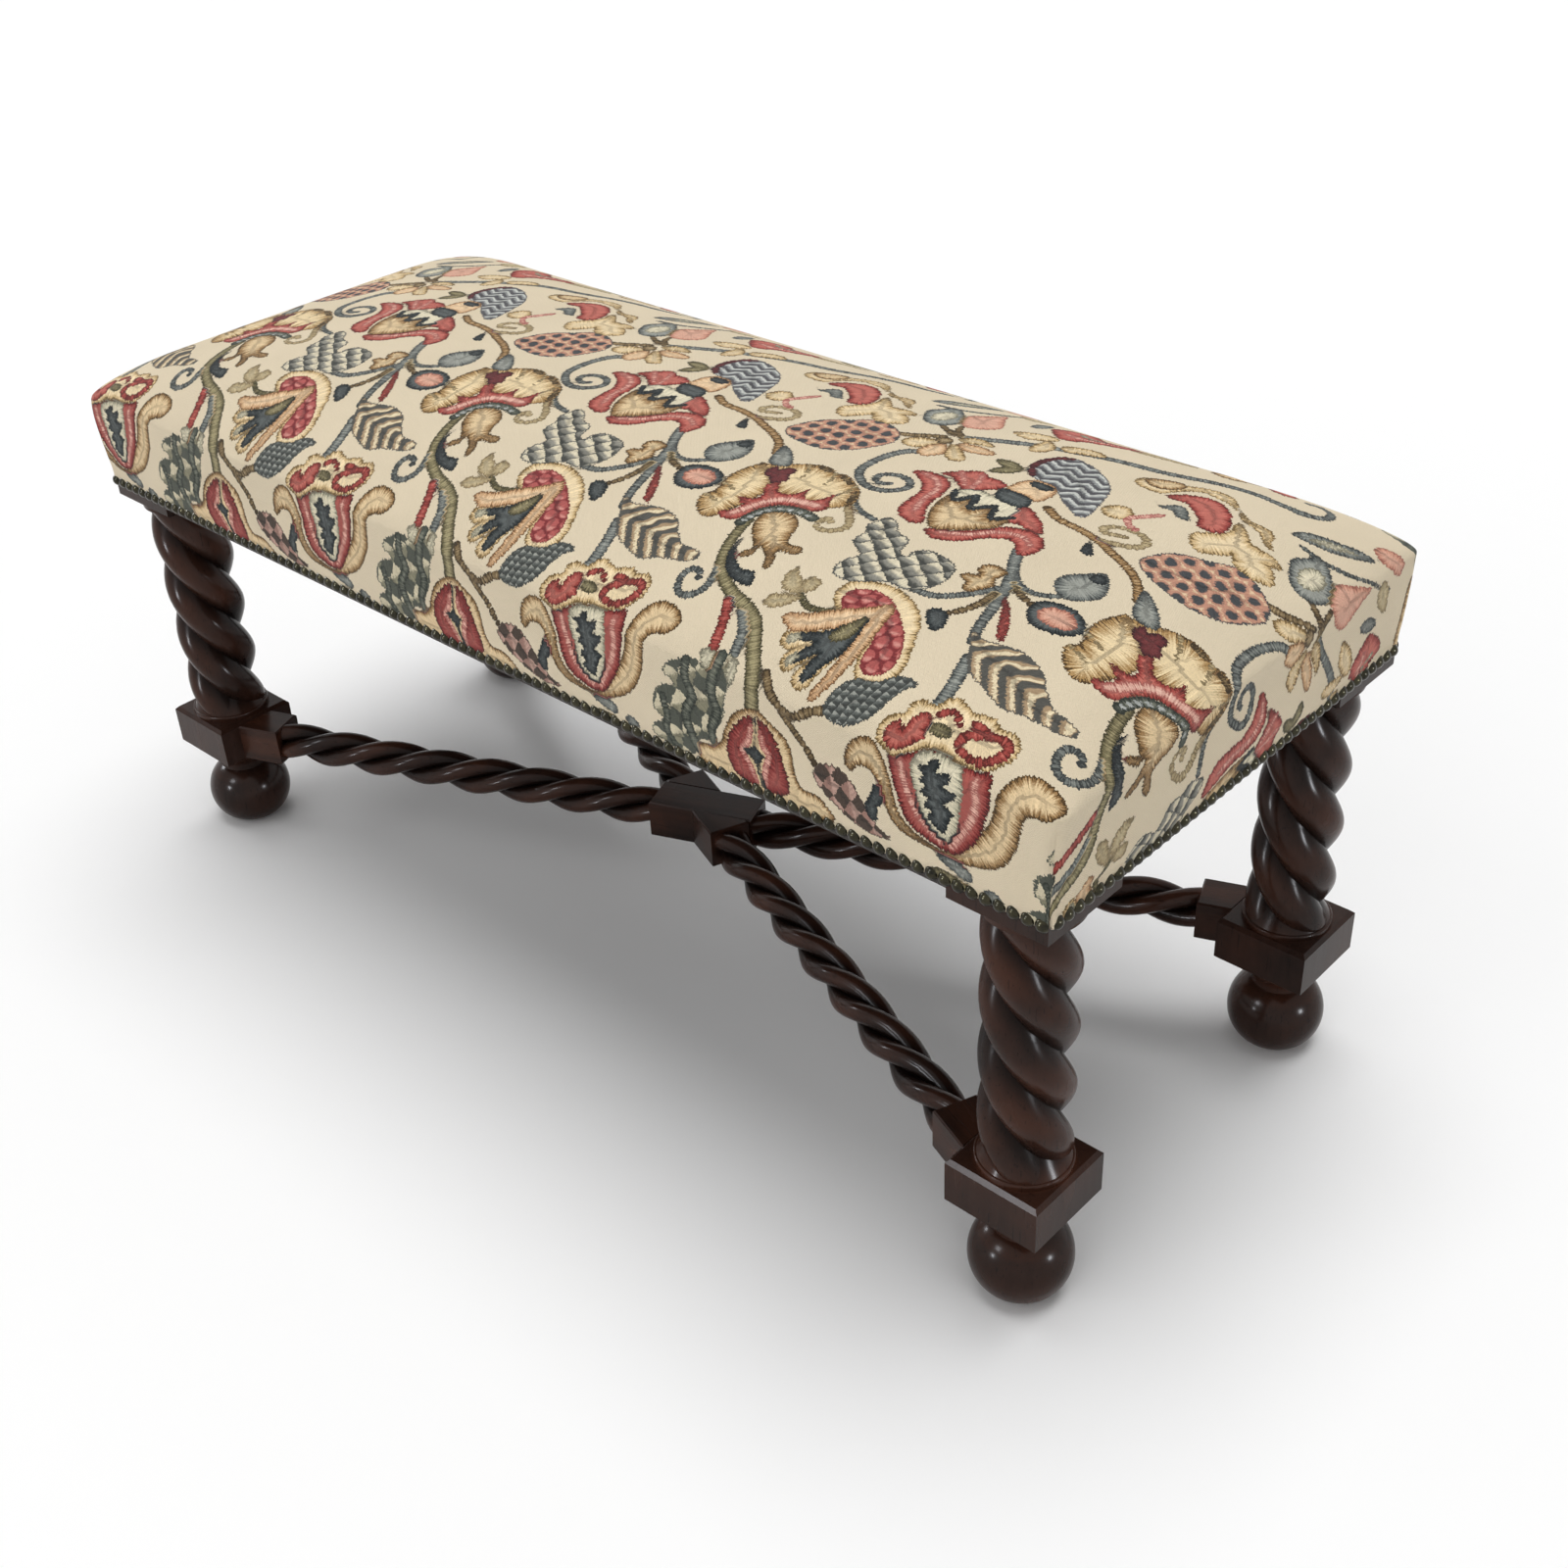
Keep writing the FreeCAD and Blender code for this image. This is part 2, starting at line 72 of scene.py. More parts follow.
class Value:
    """A shader socket. Arithmetic on it adds Math nodes to its graph."""

    def __init__(self, graph: "Graph", socket: bpy.types.NodeSocket) -> None:
        """Wraps one output of a graph's node."""
        self.graph = graph
        self.socket = socket

    def _math(self, operation: str, first: Any, second: Any = 0.0) -> "Value":
        """Adds one Math node."""
        return self.graph.add("ShaderNodeMath", {"operation": operation}, {0: first, 1: second})

    def __add__(self, other: Any) -> "Value":
        """Returns the sum."""
        return self._math("ADD", self, other)

    __radd__ = __add__

    def __sub__(self, other: Any) -> "Value":
        """Returns the difference."""
        return self._math("SUBTRACT", self, other)

    def __rsub__(self, other: Any) -> "Value":
        """Returns the difference from a number."""
        return self._math("SUBTRACT", other, self)

    def __mul__(self, other: Any) -> "Value":
        """Returns the product."""
        return self._math("MULTIPLY", self, other)

    __rmul__ = __mul__

    def __truediv__(self, other: Any) -> "Value":
        """Returns the quotient."""
        return self._math("DIVIDE", self, other)

    def __rtruediv__(self, other: Any) -> "Value":
        """Returns a number's quotient by the value."""
        return self._math("DIVIDE", other, self)

    def __abs__(self) -> "Value":
        """Returns the value without its sign."""
        return self._math("ABSOLUTE", self)

    def __gt__(self, other: Any) -> "Value":
        """Returns 1 where the value is larger, and 0 elsewhere."""
        return self._math("GREATER_THAN", self, other)

    def __lt__(self, other: Any) -> "Value":
        """Returns 1 where the value is smaller, and 0 elsewhere."""
        return self._math("LESS_THAN", self, other)

    def floor(self) -> "Value":
        """Returns the whole number below."""
        return self._math("FLOOR", self)

    def fraction(self) -> "Value":
        """Returns what is left above the whole number below."""
        return self._math("FRACT", self)

    def root(self) -> "Value":
        """Returns the square root."""
        return self._math("SQRT", self)

    def wave(self) -> "Value":
        """Returns the sine."""
        return self._math("SINE", self)

    def least(self, other: Any) -> "Value":
        """Returns the smaller of two values."""
        return self._math("MINIMUM", self, other)

    def most(self, other: Any) -> "Value":
        """Returns the larger of two values."""
        return self._math("MAXIMUM", self, other)

    def share(self) -> "Value":
        """Returns the value, held between 0 and 1."""
        return self.least(1.0).most(0.0)

    def rise(self, start: float, end: float) -> "Value":
        """Goes smoothly from 0 at start to 1 at end.

        Args:
            start, end: where the rise begins and ends; start may be the larger.

        Returns:
            The eased value.
        """
        settings = {"interpolation_type": "SMOOTHSTEP"}
        inputs = {"Value": self, "From Min": start, "From Max": end}
        return self.graph.add("ShaderNodeMapRange", settings, inputs)

    def parts(self) -> tuple["Value", "Value", "Value"]:
        """Splits a vector.

        Returns:
            Its X, Y and Z.
        """
        node = self.graph.add("ShaderNodeSeparateXYZ", {}, {0: self}).socket.node
        return tuple(Value(self.graph, out) for out in node.outputs)


class Graph:
    """The nodes of a material or of the world, under construction."""

    def __init__(self, owner: bpy.types.ID) -> None:
        """Starts from an empty tree.

        Args:
            owner: what the nodes belong to.
        """
        self.owner = owner
        owner.use_nodes = True
        self.tree = owner.node_tree
        self.tree.nodes.clear()

    @classmethod
    def material(cls, name: str) -> "Graph":
        """Returns the graph of a new material."""
        return cls(bpy.data.materials.new(name))

    def add(self, kind: str, settings: dict[str, Any], inputs: dict[Any, Any], output: Any = 0) -> Value:
        """Adds one node.

        Args:
            kind: the node's type.
            settings: its own settings; "stops" is a ramp's list of (place, colour).
            inputs: what feeds each input, a Value or a constant.
            output: which output is returned.

        Returns:
            That output.
        """
        node = self.tree.nodes.new(kind)
        for key, setting in settings.items():
            if key == "stops":
                self._set_stops(node.color_ramp, setting)
            else:
                setattr(node, key, setting)
        for key, source in inputs.items():
            if isinstance(source, Value):
                self.tree.links.new(source.socket, node.inputs[key])
            else:
                node.inputs[key].default_value = source
        return Value(self, node.outputs[output])

    @staticmethod
    def _set_stops(ramp: bpy.types.ColorRamp, stops: Sequence[tuple[float, tuple]]) -> None:
        """Fills a ramp whose colour changes in steps.

        Args:
            ramp: the ramp.
            stops: where each colour starts, rising from 0, and the colour.
        """
        ramp.interpolation = "CONSTANT"
        while len(ramp.elements) < len(stops):
            ramp.elements.new(1.0)
        for element, (place, colour) in zip(ramp.elements, stops):
            element.position = place
            element.color = colour

    def close(self, kind: str, surface: Value) -> None:
        """Links a surface to the tree's output.

        Args:
            kind: the output node's type.
            surface: what is shown.
        """
        output = self.tree.nodes.new(kind)
        self.tree.links.new(surface.socket, output.inputs["Surface"])

    def place(self) -> Value:
        """Returns the object's own coordinates, in metres."""
        return self.add("ShaderNodeTexCoord", {}, {}, "Object")

    def attribute(self, name: str) -> Value:
        """Returns a vector kept on the mesh.

        Args:
            name: the attribute's name.
        """
        return self.add("ShaderNodeAttribute", {"attribute_name": name}, {}, "Vector")

    def vector(self, x: Any, y: Any, z: Any = 0.0) -> Value:
        """Joins three numbers.

        Args:
            x, y, z: the parts.

        Returns:
            The vector.
        """
        return self.add("ShaderNodeCombineXYZ", {}, {0: x, 1: y, 2: z})

    def turned(self, vector: Value, turn: float) -> Value:
        """Turns a vector about Z.

        Args:
            vector: what is turned.
            turn: angle in radians.

        Returns:
            The turned vector.
        """
        return self.add("ShaderNodeMapping", {}, {"Vector": vector, "Rotation": (0, 0, turn)})

    def noise(self, vector: Value, scale: float, detail: float = 2.0) -> Value:
        """Returns a soft noise about 0, mostly within half a unit of it.

        Args:
            vector: where it is read.
            scale: features per unit.
            detail: finer octaves.
        """
        inputs = {"Vector": vector, "Scale": scale, "Detail": detail}
        return (self.add("ShaderNodeTexNoise", {}, inputs) - 0.5) * 2.0

    def mix(self, factor: Any, first: Any, second: Any) -> Value:
        """Blends two colours.

        Args:
            factor: 0 for the first, 1 for the second.
            first, second: the colours.

        Returns:
            The blend.
        """
        return self.add("ShaderNodeMix", {"data_type": "RGBA"}, {0: factor, 6: first, 7: second}, 2)

    def choose(self, factor: Any, first: Any, second: Any) -> Value:
        """Blends two vectors, as mix does colours."""
        return self.add("ShaderNodeMix", {"data_type": "VECTOR"}, {0: factor, 4: first, 5: second}, 1)

    def tint(self, colour: Any, factor: Value) -> Value:
        """Scales a colour's light.

        Args:
            colour: the colour.
            factor: 1 leaves it as it is.

        Returns:
            The scaled colour.
        """
        source = colour if isinstance(colour, Value) else tuple(colour)[:3]
        return self.add("ShaderNodeVectorMath", {"operation": "SCALE"}, {0: source, "Scale": factor})

    def bump(self, height: Value, depth: float) -> Value:
        """Returns a normal that follows a height.

        Args:
            height: the height, about 0 to 1.
            depth: what a height of 1 stands for, in metres.
        """
        return self.add("ShaderNodeBump", {}, {"Strength": 1.0, "Distance": depth, "Height": height})

    def finish(self, **sockets: Any) -> bpy.types.Material:
        """Closes the graph with one Principled surface.

        Args:
            sockets: the surface's inputs, with _ for each space in a name.

        Returns:
            The material.
        """
        inputs = {key.replace("_", " "): source for key, source in sockets.items()}
        self.close("ShaderNodeOutputMaterial", self.add("ShaderNodeBsdfPrincipled", {}, inputs))
        return self.owner


# Finishes


Colour = tuple[float, float, float]


class Turning(Enum):
    """What a polished piece was turned as, which gives the way of its grain."""

    UPRIGHT = "upright"
    BAR = "bar"


@dataclass(frozen=True)
class StainedWood:
    """Dark dyed and polished wood.

    Attributes:
        name: the material's name.
        turning: an upright, about a leg's centre line, or a stretcher bar.
        turn: the angle of a bar's length from X, in radians.
        middle: height of a bar's centre line, in metres.
        centre: how far the legs' centre lines are from the bench's middle, in metres.
        groove: radius below which a twist is in its groove, darkest with painted shade, and above which it
            has no painted shade and shows wear.
        square: how far beyond that radius the wear's red starts and stops to fade, in metres.
        dark, brown, red: colours of the dye, of the lighter grain and of the crests reddened by wear.
        draw: features of the grain along the piece, as a share of those across it.
        streaks, pores, clouds: features per metre.
        pore_level: noise above which a pore is open.
        relief: height of the grain, in metres.
    """

    name: str
    turning: Turning
    turn: float = 0.0
    middle: float = 0.0
    centre: tuple[float, float] = (0.5, 0.1825)
    groove: tuple[float, float] = (0.021, 0.0352)
    square: tuple[float, float] = (0.0015, 0.0045)
    dark: Colour = (22, 16, 14)
    brown: Colour = (43, 31, 27)
    red: Colour = (80, 47, 33)
    draw: float = 0.07
    streaks: float = 90.0
    pores: float = 520.0
    clouds: float = 14.0
    pore_level: float = 0.32
    relief: float = 0.00025

    def make(self) -> bpy.types.Material:
        """Returns the material: streaks and pores drawn out along the piece,
        darkened towards the grooves with painted shade, and redder on the crests with wear."""
        g = Graph.material(self.name)
        along, radius = self._grain(g)
        streak = g.noise(along, self.streaks, 4.0)
        pore = g.noise(along, self.pores, 2.0) > self.pore_level
        cloud = g.noise(g.place(), self.clouds, 3.0)
        wear_and_groove_shade = radius.rise(*self.groove)
        faded = radius.rise(*(self.groove[1] + beyond for beyond in self.square))
        warm = wear_and_groove_shade * (1.0 - faded * 0.45)
        base = g.mix((streak * 0.8 + 0.5).share(), shade(*self.dark), shade(*self.brown))
        base = g.mix((warm * (cloud * 0.9 + 0.40)).share(), base, shade(*self.red))
        # painted shade: the colour falls to 0.38 of itself in the grooves and is left whole on the crests
        base = g.tint(base, wear_and_groove_shade * 0.62 + 0.38)
        base = g.tint(base, 1.0 - pore * 0.35)
        height = streak * 0.35 + cloud * 0.4 - pore * 0.4
        return g.finish(
            Base_Color=base,
            Roughness=cloud * 0.07 + streak * 0.05 + 0.25,
            Specular_IOR_Level=0.07,
            Coat_Weight=wear_and_groove_shade * 0.15,
            Coat_Roughness=0.16,
            Normal=g.bump(height, self.relief),
        )

    def _grain(self, g: Graph) -> tuple[Value, Value]:
        """Follows the piece's centre line.

        Args:
            g: the graph.

        Returns:
            Where the grain is read, and the distance from the centre line.
        """
        if self.turning is Turning.UPRIGHT:
            x, y, z = g.place().parts()
            side, front = abs(x) - self.centre[0], abs(y) - self.centre[1]
            return g.vector(x, y, z * self.draw), (side * side + front * front).root()
        x, y, z = g.turned(g.place(), -self.turn).parts()
        rise = z - self.middle
        return g.vector(x * self.draw, y, z), (y * y + rise * rise).root()


@dataclass(frozen=True)
class PlainWood:
    """Unpolished beech of the hidden frame, with painted shade along its lower edge below the nails.

    Attributes:
        name: the material's name.
        shaded_below: height up to which it is darkened with painted shade, in metres.
        tan, pale: colours of the bare wood's grain.
        shade_colour: colour of the painted shade.
        streaks: streaks of the grain per metre.
    """

    name: str
    shaded_below: float
    tan: Colour = (150, 112, 72)
    pale: Colour = (186, 150, 104)
    shade_colour: Colour = (34, 24, 18)
    streaks: float = 160.0

    def make(self) -> bpy.types.Material:
        """Returns the material."""
        g = Graph.material(self.name)
        x, y, z = g.place().parts()
        streak = g.noise(g.vector(x * 0.1, y * 0.1, z), self.streaks, 4.0)
        plain = g.mix((streak + 0.5).share(), shade(*self.tan), shade(*self.pale))
        # painted shade under the nails: below the nails' tops the wood takes this dark colour
        dark = g.tint(shade(*self.shade_colour), streak * 0.3 + 1.0)
        base = g.mix(z + streak * 0.002 < self.shaded_below, plain, dark)
        return g.finish(Base_Color=base, Roughness=streak * 0.1 + 0.6, Normal=g.bump(streak, 0.0001))


@dataclass(frozen=True)
class Metal:
    """Metal that has darkened with age.

    Attributes:
        name: the material's name.
        dark: colour of the tarnish.
        bright: colour where it is rubbed.
        shine: roughness where it is rubbed.
        lacquer: how much of it is lacquered.
        patches, clouds: small and large spots of tarnish per metre.
    """

    name: str
    dark: Colour
    bright: Colour
    shine: float
    lacquer: float = 0.0
    patches: float = 260.0
    clouds: float = 45.0

    def make(self) -> bpy.types.Material:
        """Returns the material."""
        g = Graph.material(self.name)
        patch = g.noise(g.place(), self.patches, 3.0)
        cloud = g.noise(g.place(), self.clouds, 2.0)
        rubbed = (patch * 0.7 + cloud * 0.5 + 0.45).share()
        return g.finish(
            Base_Color=g.mix(rubbed, shade(*self.dark), shade(*self.bright)),
            Metallic=1.0,
            Roughness=(1.0 - rubbed) * 0.18 + self.shine,
            Coat_Weight=self.lacquer,
            Coat_Roughness=0.09,
            Normal=g.bump(patch, 0.00012),
        )


@dataclass(frozen=True)
class PlainCloth:
    """Plain woven or felted cloth.

    Attributes:
        name: the material's name.
        colour: its middle colour.
        threads: threads per metre.
    """

    name: str
    colour: Colour
    threads: float

    def make(self) -> bpy.types.Material:
        """Returns the material."""
        g = Graph.material(self.name)
        x, y, z = g.place().parts()
        turn = 2 * math.pi * self.threads
        weave = (x * turn).wave() * ((y + z) * turn).wave()
        cloud = g.noise(g.place(), self.threads * 0.4, 3.0)
        base = g.tint(shade(*self.colour), weave * 0.10 + cloud * 0.22 + 1.0)
        height = weave * 0.5 + cloud * 0.5
        return g.finish(Base_Color=base, Roughness=cloud * 0.06 + 0.9, Normal=g.bump(height, 0.0002))


# The crewelwork pattern


CLOTH = "cloth"
FIGURES = "crewel_figure"


class Layer(IntEnum):
    """The order in which the shapes lie over each other, lowest first."""

    STEMS = 0
    FIGURED = 1
    PETALS = 2
    OVER = 3
    DETAIL = 4
    TOP = 5

    @property
    def store(self) -> str:
        """Name of the attribute that keeps the layer on the cover."""
        return f"crewel_{self.name.lower()}"


class Thread(Enum):
    """Wools of the embroidery: number, then its dark, middle and light colour."""

    OCHRE = (0, (78, 60, 38), (152, 119, 78), (220, 195, 154))
    RED = (1, (94, 42, 38), (150, 66, 60), (188, 108, 96))
    TULIP = (2, (70, 32, 30), (128, 48, 46), (164, 86, 78))
    PINK = (3, (166, 98, 90), (214, 164, 148), (230, 196, 178))
    MAROON = (4, (60, 34, 36), (94, 46, 48), (114, 58, 58))
    NAVY = (5, (33, 37, 38), (50, 55, 56), (90, 95, 94))
    SLATE = (6, (62, 65, 64), (106, 110, 106), (152, 154, 146))
    PALE = (7, (126, 122, 104), (192, 185, 160), (222, 213, 186))
    CREAM = (8, (116, 94, 58), (202, 174, 128), (230, 209, 170))
    OLIVE = (9, (66, 62, 44), (110, 102, 74), (160, 150, 114))
    BROWN = (10, (66, 54, 38), (116, 97, 68), (172, 152, 116))
    SALMON = (11, (116, 84, 54), (198, 158, 118), (228, 198, 160))
    CAP = (12, (78, 60, 38), (168, 134, 86), (230, 208, 166))
    FAWN = (13, (128, 112, 82), (172, 154, 118), (198, 182, 146))
    BLUSH = (14, (160, 104, 88), (202, 146, 124), (216, 168, 146))
    MOSS = (15, (50, 54, 48), (74, 78, 70), (120, 122, 108))
    BEAD = (16, (164, 167, 163), (192, 194, 188), (206, 206, 198))
    CHEVRON = (17, (84, 83, 78), (166, 142, 112), (224, 208, 174))
    CHECK = (18, (70, 72, 74), (188, 140, 118), (218, 190, 156))
    WINGED = (19, (80, 83, 74), (136, 132, 110), (206, 196, 168))
    GRAPE = (20, (70, 71, 67), (138, 136, 126), (216, 206, 180))
    BERRY = (21, (122, 50, 52), (172, 90, 86), (208, 142, 132))
    POD = (22, (74, 62, 54), (152, 118, 106), (186, 152, 138))
    SCALED = (23, (66, 69, 66), (96, 100, 96), (152, 154, 146))
    SILVERED = (24, (84, 83, 86), (140, 143, 142), (198, 200, 194))

    @property
    def number(self) -> int:
        """The wool's number."""
        return self.value[0]


FIRST_FIGURED = Thread.CHEVRON


class Figure(IntEnum):
    """How a figured leaf is filled."""

    CHEVRON = 1
    CHECK = 2
    STUD = 3
    BERRY = 4
    SPOT = 5
    ZIGZAG = 6
    BRICK = 7


def points(text: str) -> np.ndarray:
    """Reads a drawn outline.

    Args:
        text: its points, "u,v u,v ...", in millimetres on the cloth.

    Returns:
        The points, one a row.
    """
    return np.array([pair.split(",") for pair in text.split()], float)


def smooth(knots: np.ndarray, closed: bool, steps: int = 5) -> np.ndarray:
    """Runs a Catmull-Rom curve through some points: each stretch is the cubic
    that meets its two ends with the slope of the chord between their neighbours.

    Args:
        knots: the points.
        closed: whether the curve comes back to its start.
        steps: pieces for each stretch.

    Returns:
        Points along the curve.
    """
    if closed:
        ring = np.concatenate([knots[-1:], knots, knots[:2]])
    else:
        ring = np.concatenate([2 * knots[:1] - knots[1:2], knots, 2 * knots[-1:] - knots[-2:-1]])
    before, start, end, after = ring[:-3], ring[1:-2], ring[2:-1], ring[3:]
    t = (np.arange(steps) / steps)[None, :, None]
    a, b, c, d = (p[:, None, :] for p in (before, start, end, after))
    run = 0.5 * (2 * b + (c - a) * t + (2 * a - 5 * b + 4 * c - d) * t**2 + (3 * b - a - 3 * c + d) * t**3)
    run = run.reshape(-1, 2)
    return run if closed else np.concatenate([run, knots[-1:]])


@dataclass(frozen=True)
class Motif:
    """One embroidered shape, a filled outline or a ribbon along a line.

    Attributes:
        layer: where it lies in the stack.
        thread: its wool.
        outline: its points, drawn in millimetres on the cloth.
        width: a ribbon's width at its start and end, or None for a filled outline.
        figure: how it is filled, if it is figured.
        pitch: size of a figure's repeat, in millimetres.
        turn: direction of a figure's length, in degrees from U.
        soft: how many times wider than usual the shading of its edge is.
        SHORTEST: least length of a stretch of its line, in millimetres.
        LEVEL: rise below which a stretch counts as level, in millimetres.
    """

    SHORTEST = 1e-6
    LEVEL = 1e-9

    layer: Layer
    thread: Thread
    outline: str
    width: tuple[float, float] | None = None
    figure: Figure | None = None
    pitch: float = 14.0
    turn: float = 0.0
    soft: float = 1.0

    def curve(self) -> np.ndarray:
        """Returns the shape's smooth line."""
        return smooth(points(self.outline), closed=self.width is None)

    def depth(self, cloth: np.ndarray, line: np.ndarray) -> tuple[np.ndarray, np.ndarray]:
        """Works out how deep points of the cloth lie inside the shape: the
        distance to the nearest stretch of its line, taken as negative outside
        an outline, or from half a ribbon's width downwards.

        Args:
            cloth: the points, (n, 2).
            line: the shape's smooth line.

        Returns:
            The depth in millimetres, and how far along the line the nearest point is.
        """
        start = line
        end = np.roll(line, -1, axis=0)
        if self.width:
            start, end = start[:-1], end[:-1]
        span = end - start
        length = np.maximum(np.hypot(span[:, 0], span[:, 1]), self.SHORTEST)
        reach = cloth[:, None, :] - start
        t = np.clip((reach * span).sum(2) / length**2, 0, 1)
        apart = np.hypot(*np.moveaxis(reach - t[..., None] * span, 2, 0))
        along = np.concatenate([[0], np.cumsum(length)[:-1]]) + t * length
        rows = np.arange(len(cloth))
        if self.width:
            share = along / length.sum()
            depth = self.width[0] / 2 * (1 - share) + self.width[1] / 2 * share - apart
            near = depth.argmax(1)
            return depth[rows, near], along[rows, near]
        near = apart.argmin(1)
        above = (start[:, 1] > cloth[:, 1:]) != (end[:, 1] > cloth[:, 1:])
        rise = np.where(np.abs(span[:, 1]) < self.LEVEL, self.LEVEL, span[:, 1])
        cross = start[:, 0] + (cloth[:, 1:] - start[:, 1]) / rise * span[:, 0]
        inside = (above & (cloth[:, :1] < cross)).sum(1) % 2 == 1
        return np.where(inside, 1, -1) * apart[rows, near], along[rows, near]

    def phases(self, places: np.ndarray) -> np.ndarray:
        """Counts a figure's repeats along and across its length.

        Args:
            places: points of the cloth, (n, 2), from the shape's middle.

        Returns:
            Both counts and the figure's number, (n, 3).
        """
        turn = math.radians(self.turn)
        axes = np.array([[math.cos(turn), -math.sin(turn)], [math.sin(turn), math.cos(turn)]])
        return np.column_stack([places @ axes / self.pitch, np.full(len(places), float(self.figure))])


def stem(thread: Thread, start: float, end: float, outline: str, layer: Layer = Layer.STEMS) -> Motif:
    """Returns a ribbon.

    Args:
        thread: its wool.
        start, end: its width at both ends.
        outline: its middle line.
        layer: where it lies.
    """
    return Motif(layer, thread, outline, width=(start, end))


def leaf(thread: Thread, outline: str, layer: Layer = Layer.PETALS, soft: float = 1.0) -> Motif:
    """Returns a filled shape.

    Args:
        thread: its wool.
        outline: its edge.
        layer: where it lies.
        soft: how many times wider than usual its edge is shaded.
    """
    return Motif(layer, thread, outline, soft=soft)


def figured(thread: Thread, figure: Figure, pitch: float, turn: float, outline: str) -> Motif:
    """Returns a figured shape.

    Args:
        thread: its wools.
        figure: how it is filled.
        pitch: size of the repeat, in millimetres.
        turn: direction of its length, in degrees.
        outline: its edge.
    """
    return Motif(Layer.FIGURED, thread, outline, figure=figure, pitch=pitch, turn=turn)


def oval(u: float, v: float, wide: float, high: float, knots: int = 8) -> str:
    """Returns the outline of an oval.

    Args:
        u, v: its middle.
        wide, high: its half sizes.
        knots: points round it.
    """
    turns = np.linspace(0, 2 * math.pi, knots, endpoint=False)
    return " ".join(f"{u + wide * math.cos(t)},{v + high * math.sin(t)}" for t in turns)


